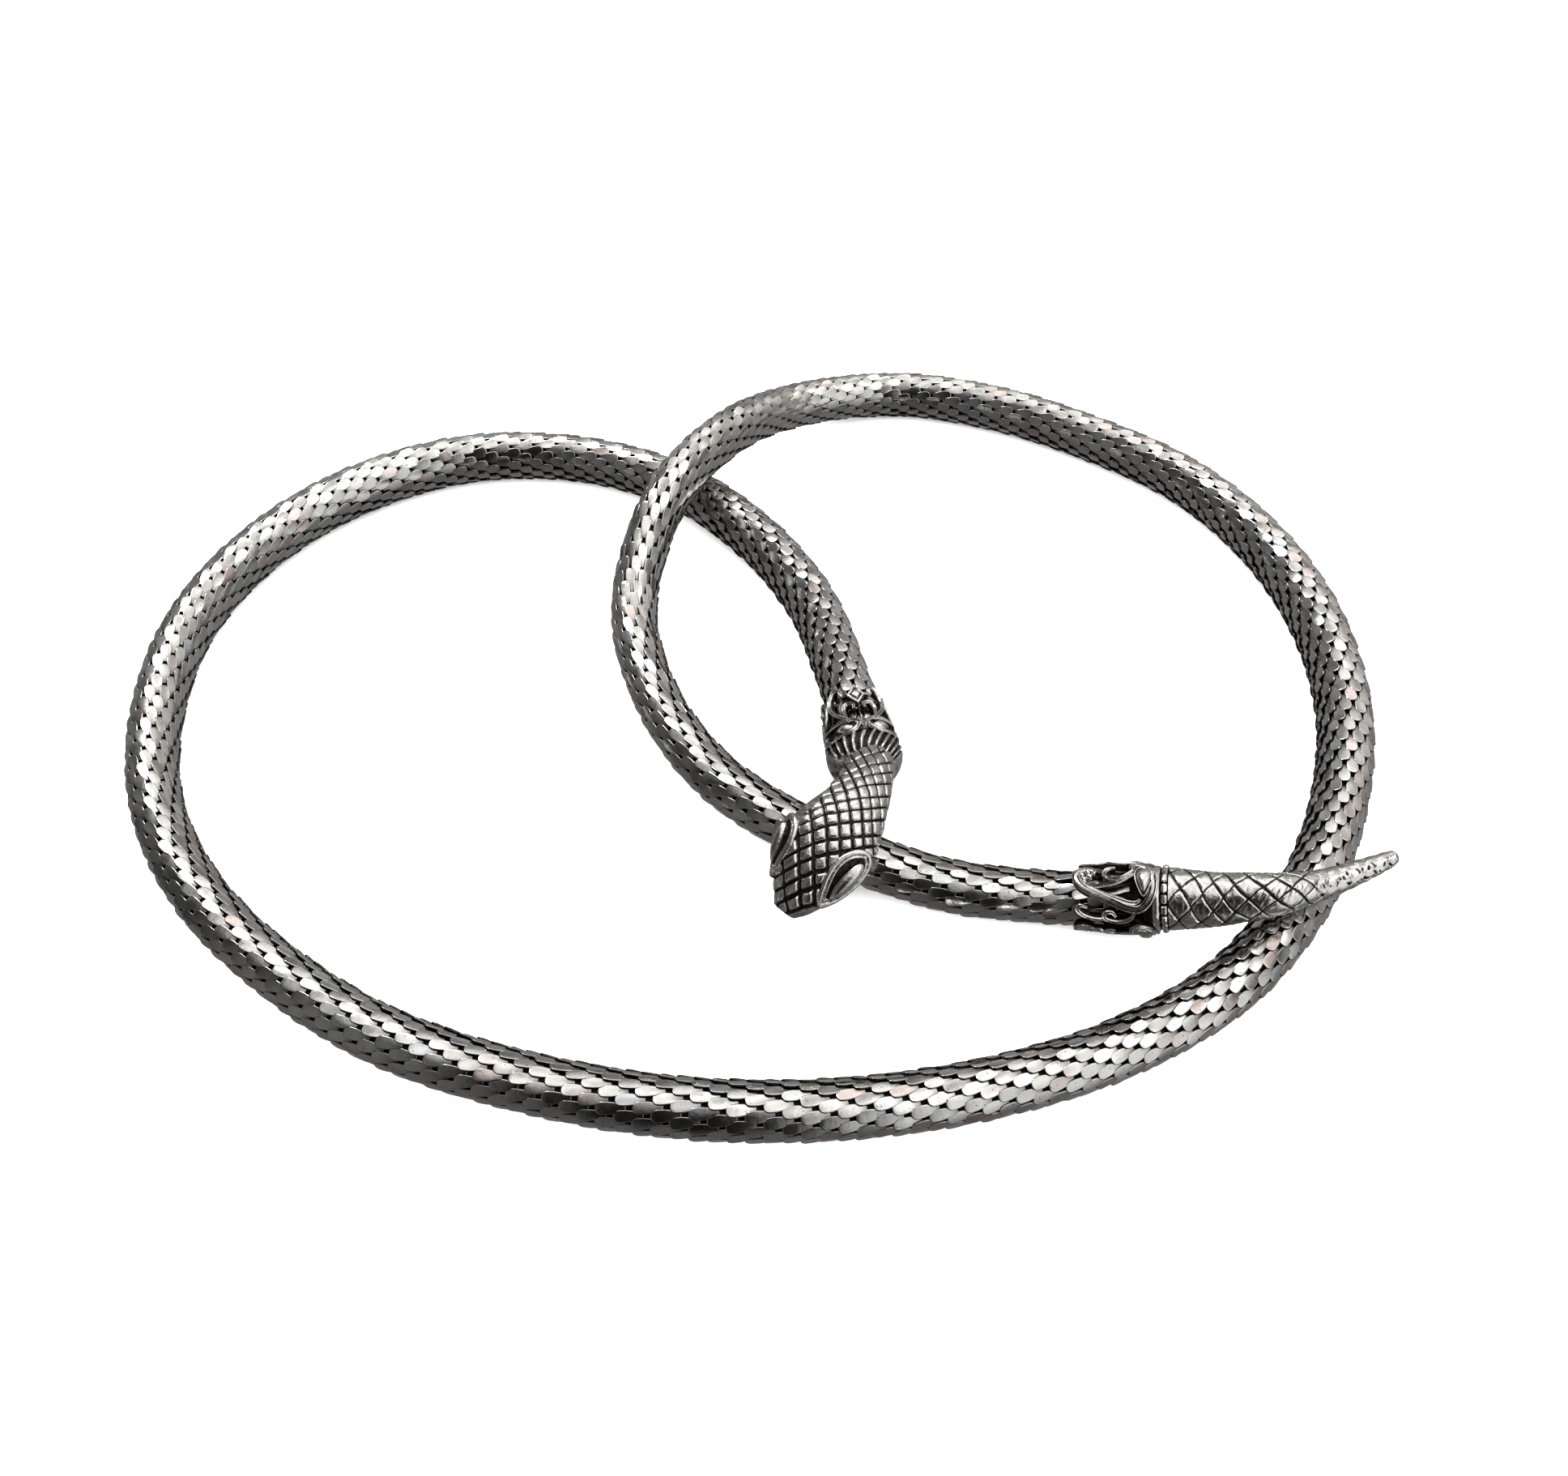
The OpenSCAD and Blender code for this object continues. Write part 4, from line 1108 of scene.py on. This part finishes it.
def build_tail_collar():
    """The collar at the tail: three lobes of ribbons and scrolls, and the ring that closes its end."""
    inner = MESH_R * ROUTE[-1][3] + COLLAR_GAP + TAIL_EXTRA_GAP
    sleeve = Sleeve(TAIL_AXIS, 0, inner, TAIL_RADIUS)
    form = Parts()
    for lobe in LOBE_TURNS:
        turn = TAIL_TURN + lobe
        add_scroll(form, sleeve, TAIL_RIBBON, 1, turn, TAIL_RIBBON_W, 0, RIBBON_SECTION, steps=8, thin=0.7)
        for path in TAIL_THIN:
            add_scroll(form, sleeve, path, 1, turn, TAIL_THIN_W, TAIL_THIN_RISE, steps=7)
        for across, along, radius in TAIL_BEADS:
            place = sleeve.point(across, along, float(table_at(TAIL_RADIUS, along, 1)) - radius, turn)
            add_ball(form, place, radius)
        add_stone(form, sleeve, TAIL_BOSS, turn, BOSS_LEVELS, sides=24, power=1.8, taper=0.45)
    add_rings(form, sleeve, TAIL_END_RINGS, sleeve.length + TAIL_END_RUN)
    return form.piece("tail_collar_scrolls", cast_metal, "cast_metal", ["tail_collar"], sharp=40)


# The beaded ring: thickness, radius on the beads and between them, extra depth between, hole
RING_T = 1.1
RING_OUTER = 5.7
RING_VALLEY = 5.35
RING_NOTCH = 0.35
RING_HOLE = 4.0
BEADS = 18
BEAD_STEPS = 16
BEAD_EDGE = (0.08, 0.5)
# Its section: radius against the crest, run, brightness. Where the radius is None, it is the hole's
RING_SECTION = [
    [None, 0, 0.05], [-0.5, 0, 0.1], [-0.15, 0.12, 0.6], [0, 0.4, 1], [0, 0.7, 1], [-0.15, 0.98, 0.6],
    [-0.5, RING_T, 0.1], [None, RING_T, 0.05],
]


def build_tail_ring():
    """The beaded ring: a row of rounded teeth around the tail's start."""
    sleeve = Sleeve(TAIL_AXIS, 0, 0, TAIL_RADIUS)
    n = BEADS * BEAD_STEPS
    a = 2 * math.pi * np.arange(n) / n
    tooth = smooth_step(np.abs(np.cos(BEADS * a / 2)), *BEAD_EDGE)
    crest = RING_VALLEY - RING_NOTCH + (RING_OUTER - RING_VALLEY + RING_NOTCH) * tooth
    start = sleeve.length + TAIL_END_RUN + GAP
    rings, values = [], []
    for drop, v, value in RING_SECTION:
        r = np.full(n, RING_HOLE) if drop is None else crest + drop
        rings.append(sleeve.point(0, start + v, r, np.degrees(a)))
        values.append(np.full(n, value) if drop is None else value * (0.15 + 0.85 * tooth))
    faces = stack_faces(len(RING_SECTION), n, True)
    return make_piece("tail_ring_beads", np.vstack(rings), faces, cast_metal, ["tail_ring"],
                      np.concatenate(values), sharp=40)


# Materials


def new_material(name, metallic=1):
    """A material with its node tree and its shader."""
    material = bpy.data.materials.new(name)
    material.use_nodes = True
    tree = material.node_tree
    tree.nodes.clear()
    output = tree.nodes.new("ShaderNodeOutputMaterial")
    shader = tree.nodes.new("ShaderNodeBsdfPrincipled")
    shader.inputs["Metallic"].default_value = metallic
    tree.links.new(shader.outputs["BSDF"], output.inputs["Surface"])
    return material, tree, shader


def feed(tree, socket, value):
    """Links an input to a socket, or sets it to a number or a plain colour."""
    if isinstance(value, bpy.types.NodeSocket):
        tree.links.new(value, socket)
    elif isinstance(value, tuple):
        socket.default_value = (*value, 1)
    else:
        socket.default_value = value


def noise(tree, scale, detail=3.0, roughness=0.5):
    """A noise pattern in the part's own coordinates, in metres."""
    place = tree.nodes.new("ShaderNodeTexCoord")
    node = tree.nodes.new("ShaderNodeTexNoise")
    node.inputs["Scale"].default_value = scale
    node.inputs["Detail"].default_value = detail
    node.inputs["Roughness"].default_value = roughness
    tree.links.new(place.outputs["Object"], node.inputs["Vector"])
    return node.outputs["Fac"]


def ramp(tree, source, stops):
    """A colour ramp. Stops: place, colour."""
    node = tree.nodes.new("ShaderNodeValToRGB")
    elements = node.color_ramp.elements
    while len(elements) < len(stops):
        elements.new(1)
    for element, (place, colour) in zip(elements, stops):
        element.position = place
        element.color = (*colour, 1)
    tree.links.new(source, node.inputs["Fac"])
    return node.outputs["Color"]


def map_range(tree, source, low, high, to_low, to_high):
    """A value between low and high, carried over to between two others."""
    node = tree.nodes.new("ShaderNodeMapRange")
    for name, value in (("From Min", low), ("From Max", high), ("To Min", to_low), ("To Max", to_high)):
        node.inputs[name].default_value = value
    tree.links.new(source, node.inputs["Value"])
    return node.outputs["Result"]


def colour_sockets(node):
    """The colour inputs and output of a Mix node of colours."""
    return node.inputs[6], node.inputs[7], node.outputs[2]


def mix(tree, share, first, second, blend="MIX"):
    """Mixes two colours. Each is a socket or a plain colour, and share is a socket or a number."""
    node = tree.nodes.new("ShaderNodeMix")
    node.data_type = "RGBA"
    node.blend_type = blend
    a, b, result = colour_sockets(node)
    for socket, value in ((node.inputs[0], share), (a, first), (b, second)):
        feed(tree, socket, value)
    return result


def math_node(tree, operation, first, second):
    """The sum, product or like result of two values, each a socket or a number."""
    node = tree.nodes.new("ShaderNodeMath")
    node.operation = operation
    for socket, value in zip(node.inputs, (first, second)):
        feed(tree, socket, value)
    return node.outputs["Value"]


def bump(tree, shader, heights, strength, distance):
    """Fine relief from a pattern of heights. The distance is in metres."""
    node = tree.nodes.new("ShaderNodeBump")
    node.inputs["Strength"].default_value = strength
    node.inputs["Distance"].default_value = distance
    tree.links.new(heights, node.inputs["Height"])
    tree.links.new(node.outputs["Normal"], shader.inputs["Normal"])


def shade_of(tree):
    """The attribute 'shade' of the mesh."""
    node = tree.nodes.new("ShaderNodeAttribute")
    node.attribute_name = "shade"
    return node


def simple_metal(name, tones, rough, relief):
    """A metal with a pattern of tones, one of roughness and one of fine relief.

    Each starts with its noise's scale and detail. The tones go on with a ramp's stops, the roughness with
    its least and most, and the relief with its strength and its depth in metres.
    """
    material, tree, shader = new_material(name)
    scale, detail, stops = tones
    tree.links.new(ramp(tree, noise(tree, scale, detail), stops), shader.inputs["Base Color"])
    scale, detail, least, most = rough
    pattern = noise(tree, scale, detail)
    tree.links.new(map_range(tree, pattern, 0.3, 0.7, least, most), shader.inputs["Roughness"])
    scale, detail, strength, depth = relief
    bump(tree, shader, noise(tree, scale, detail), strength, depth)
    return material


def make_scale_metal():
    """Bright plated sheet: each scale's own tint times its painted shade, faint smears, hairline scratches.
    """
    material, tree, shader = new_material("scale_metal")
    tint_with_painted_shade = shade_of(tree).outputs["Color"]
    smears = ramp(tree, noise(tree, 260, 4), [(0.3, (0.84, 0.83, 0.81)), (0.65, (1, 1, 1))])
    specks = ramp(tree, noise(tree, 2100, 2), [(0.27, (0.42, 0.36, 0.31)), (0.34, (1, 1, 1))])
    colour = mix(tree, 1.0, tint_with_painted_shade, smears, "MULTIPLY")
    colour = mix(tree, 1.0, colour, specks, "MULTIPLY")
    tree.links.new(colour, shader.inputs["Base Color"])
    tree.links.new(map_range(tree, noise(tree, 420, 3), 0.3, 0.75, 0.1, 0.2), shader.inputs["Roughness"])
    bump(tree, shader, noise(tree, 900, 3, 0.55), 0.12, 0.0002)
    return material


def make_core_metal():
    """Near-black metal for the core: painted shade standing in for the shadowed inside of the mesh."""
    tones = (900, 4, [(0.35, (0.012, 0.011, 0.01)), (0.7, (0.05, 0.044, 0.038))])
    return simple_metal("core_shadow_metal", tones, (700, 2, 0.55, 0.8), (1200, 3, 0.5, 0.0004))


def make_cast_metal():
    """Aged silver-tone casting: polished highs, and blackened recesses where shade is low."""
    material, tree, shader = new_material("cast_metal")
    raised = shade_of(tree).outputs["Fac"]
    grime = map_range(tree, noise(tree, 900, 5, 0.6), 0.3, 0.7, -0.2, 0.2)
    clean = math_node(tree, "ADD", raised, grime)
    clean = map_range(tree, clean, 0.3, 0.72, 0, 1)
    bright = ramp(tree, noise(tree, 330, 4), [(0.3, (0.66, 0.65, 0.62)), (0.7, (0.86, 0.855, 0.83))])
    dark = ramp(tree, noise(tree, 1500, 3), [(0.35, (0.014, 0.013, 0.012)), (0.7, (0.06, 0.054, 0.048))])
    tree.links.new(mix(tree, clean, dark, bright), shader.inputs["Base Color"])
    worn = map_range(tree, noise(tree, 1300, 3), 0.3, 0.7, 0.1, 0.26)
    rough = tree.nodes.new("ShaderNodeMix")
    rough.data_type = "FLOAT"
    for socket, value in zip(rough.inputs, (clean, None, 0.5, worn)):
        if value is not None:
            feed(tree, socket, value)
    tree.links.new(rough.outputs[0], shader.inputs["Roughness"])
    bump(tree, shader, noise(tree, 1100, 4, 0.6), 0.3, 0.0003)
    return material


def make_plain_metal():
    """The plain hidden hook: dull plated strip."""
    tones = (500, 4, [(0.3, (0.36, 0.35, 0.33)), (0.7, (0.58, 0.575, 0.56))])
    return simple_metal("plain_metal", tones, (900, 2, 0.22, 0.4), (1600, 2, 0.25, 0.0002))


def make_floor_paint():
    """Plain pale board with a very fine tooth."""
    material, tree, shader = new_material("floor_paint", 0)
    colour = ramp(tree, noise(tree, 40, 2), [(0.3, (0.9, 0.9, 0.9)), (0.7, (0.93, 0.93, 0.93))])
    tree.links.new(colour, shader.inputs["Base Color"])
    shader.inputs["Roughness"].default_value = 0.9
    shader.inputs["Specular IOR Level"].default_value = 0.1
    return material


# Camera, floor and light


# Half of the floor's side, in metres
FLOOR_HALF = 4.0


def make_camera():
    """The photograph's camera."""
    data = bpy.data.cameras.new("camera")
    data.sensor_fit = "HORIZONTAL"
    data.sensor_width = SENSOR
    data.lens = LENS
    data.clip_start = 0.01
    camera = bpy.data.objects.new("camera", data)
    camera.location = [v * MM for v in CAMERA_AT]
    camera.rotation_euler = (math.radians(90 - CAMERA_PITCH), 0, 0)
    bpy.context.scene.collection.objects.link(camera)
    bpy.context.scene.camera = camera


def make_floor():
    """A wide pale board under the belt."""
    corners = [(x * FLOOR_HALF, y * FLOOR_HALF, 0) for x, y in ((-1, -1), (1, -1), (1, 1), (-1, 1))]
    mesh = bpy.data.meshes.new("floor")
    mesh.from_pydata(corners, [], [(0, 1, 2, 3)])
    mesh.materials.append(make_floor_paint())
    floor = bpy.data.objects.new("floor", mesh)
    floor.visible_glossy = False
    bpy.context.scene.collection.objects.link(floor)


# The studio's light by direction. The bright ceiling lies around its axis, between two cosines from it
CEILING_AXIS = (0.2, 0.2, 0.96)
CEILING_EDGE = (0.62, 0.88)
CEILING = 1.15
CEILING_TINT = (1.0, 0.985, 0.96)
# Walls and table: brightness at the middle, and its change with x and y of the direction
WALL = 0.16
WALL_SLOPE = (0.12, 0.16, 0.0)
TABLE = 0.17
TABLE_SLOPE = (0.04, 0.08, 0.0)
HORIZON = (-0.35, -0.1)
DARKEST = 0.012
# A soft pattern makes walls and ceiling uneven. Its scale and detail, then the pattern's low and high
# value and the light's share at each, and the tones of the walls
PATCH_SCALE = 3.0
PATCH_DETAIL = 2.0
WALL_PATCHES = (0.35, 0.65, 0.4, 1.5)
CEILING_PATCHES = (0.37, 0.63, 0.45, 1.5)
WALL_TONES = [(0.35, (1.0, 0.84, 0.8)), (0.5, (1, 1, 0.98)), (0.7, (0.92, 0.97, 1))]
# The near half, as cosines: where it starts towards the camera, and upwards from below the horizon
NEAR_EDGE = (0.05, 0.4)
NEAR_LOW = (-0.5, -0.1)
# Its lit sides: direction, low and high cosine from it, brightness
NEAR_SIDES = [[(1, 0, 0), 0.1, 0.45, 0.75], [(-1, 0, 0), 0.28, 0.7, 0.14]]
# Soft boxes that the metal reflects: direction, cosines of the outer and inner edge, brightness
BOXES = [
    [(0.72, 0.62, 0.31), 0.92, 0.975, 0.3],
]
# What lights the floor, and what the camera sees beyond it
FILL = 4.5
PALE = 1.0
# A soft lamp behind the belt: its place and size in metres
LAMP_AT = (-0.5, 0.7, 1.0)
LAMP_SIZE = 0.3
LAMP_WATTS = 4


def dot_with(tree, vector, axis):
    """The cosine between a direction and an axis."""
    node = tree.nodes.new("ShaderNodeVectorMath")
    node.operation = "DOT_PRODUCT"
    tree.links.new(vector, node.inputs[0])
    node.inputs[1].default_value = axis
    return node.outputs["Value"]


def slope_light(tree, direction, middle, slope):
    """A brightness that changes evenly with the direction, never below the darkest."""
    light = math_node(tree, "ADD", dot_with(tree, direction, slope), middle)
    return math_node(tree, "MAXIMUM", light, DARKEST)


def make_patches(tree, direction):
    """The soft pattern over the studio's walls and ceiling."""
    patch = tree.nodes.new("ShaderNodeTexNoise")
    patch.inputs["Scale"].default_value = PATCH_SCALE
    patch.inputs["Detail"].default_value = PATCH_DETAIL
    tree.links.new(direction, patch.inputs["Vector"])
    return patch.outputs["Fac"]


def near_light(tree, direction, height):
    """The lit sides of the near half."""
    near = map_range(tree, dot_with(tree, direction, (0, -1, 0)), *NEAR_EDGE, 0, 1)
    near = math_node(tree, "MULTIPLY", near, map_range(tree, height, *NEAR_LOW, 0, 1))
    sides = [map_range(tree, dot_with(tree, direction, axis), low, high, 0, bright)
             for axis, low, high, bright in NEAR_SIDES]
    return math_node(tree, "MULTIPLY", math_node(tree, "ADD", *sides), near)


def studio_light(tree, direction):
    """A bright soft ceiling over dim walls and a grey table, as the metal reflects them."""
    patches = make_patches(tree, direction)
    height = dot_with(tree, direction, (0, 0, 1))
    wall = slope_light(tree, direction, WALL, WALL_SLOPE)
    wall = math_node(tree, "MULTIPLY", wall, map_range(tree, patches, *WALL_PATCHES))
    for axis, outer, inner, bright in BOXES:
        box = map_range(tree, dot_with(tree, direction, axis), outer, inner, 0, bright)
        wall = math_node(tree, "ADD", wall, box)
    table = slope_light(tree, direction, TABLE, TABLE_SLOPE)
    low_light = mix(tree, map_range(tree, height, *HORIZON, 0, 1), table, wall)
    low_light = math_node(tree, "ADD", low_light, near_light(tree, direction, height))
    walls = mix(tree, 1.0, ramp(tree, patches, WALL_TONES), low_light, "MULTIPLY")
    ceiling = map_range(tree, dot_with(tree, direction, CEILING_AXIS), *CEILING_EDGE, 0, CEILING)
    ceiling = math_node(tree, "MULTIPLY", ceiling, map_range(tree, patches, *CEILING_PATCHES))
    return mix(tree, 1.0, walls, mix(tree, 1.0, CEILING_TINT, ceiling, "MULTIPLY"), "ADD")


def make_world():
    """The studio as the metal reflects it, an evenly lit floor, and plain white for the camera."""
    world = bpy.data.worlds.new("studio")
    bpy.context.scene.world = world
    world.use_nodes = True
    tree = world.node_tree
    tree.nodes.clear()
    output = tree.nodes.new("ShaderNodeOutputWorld")
    place = tree.nodes.new("ShaderNodeTexCoord")
    path = tree.nodes.new("ShaderNodeLightPath")
    light = studio_light(tree, place.outputs["Generated"])
    light = mix(tree, path.outputs["Is Diffuse Ray"], light, (FILL, FILL, FILL))
    light = mix(tree, path.outputs["Is Camera Ray"], light, (PALE, PALE, PALE))
    background = tree.nodes.new("ShaderNodeBackground")
    tree.links.new(light, background.inputs["Color"])
    tree.links.new(background.outputs["Background"], output.inputs["Surface"])


def make_lamp(name, at, size, energy):
    """A soft square lamp that looks at the middle of the belt. Its place and size are in metres."""
    data = bpy.data.lights.new(name, "AREA")
    data.shape = "SQUARE"
    data.size = size
    data.energy = energy
    lamp = bpy.data.objects.new(name, data)
    lamp.location = at
    x, y, z = at
    lamp.rotation_euler = (math.atan2(math.hypot(x, y), z), 0, math.atan2(x, -y))
    lamp.visible_camera = False
    bpy.context.scene.collection.objects.link(lamp)


make_camera()
make_floor()
make_world()
make_lamp("key", LAMP_AT, LAMP_SIZE, LAMP_WATTS)
bpy.context.scene.view_settings.view_transform = "Standard"
bpy.context.scene.view_settings.look = "None"

scale_metal = make_scale_metal()
core_shadow_metal = make_core_metal()
cast_metal = make_cast_metal()
plain_metal = make_plain_metal()

places, turns, pitches = ring_places()
split = int(np.searchsorted(places, MESH_SPLIT))
for node, first, last in (("mesh_head_side", 0, split), ("mesh_tail_side", split, len(places))):
    half = (first + last) // 2
    for part, (low, high) in (("a", (first, half)), ("b", (half, last))):
        build_scales(f"{node}_scales_{part}", places[low:high], turns[low:high], pitches[low:high], node)
build_core("mesh_head_side_core", CORE_END, MESH_SPLIT, "mesh_head_side")
build_core("mesh_tail_side_core", MESH_SPLIT, len(ROUTE) - 1 - CORE_END, "mesh_tail_side")

build_head()
build_head_collar()
build_tail_collar()
build_tail_ring()
build_tail()

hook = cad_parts["head_hook"]
hook.data.materials.clear()
hook.data.materials.append(plain_metal)
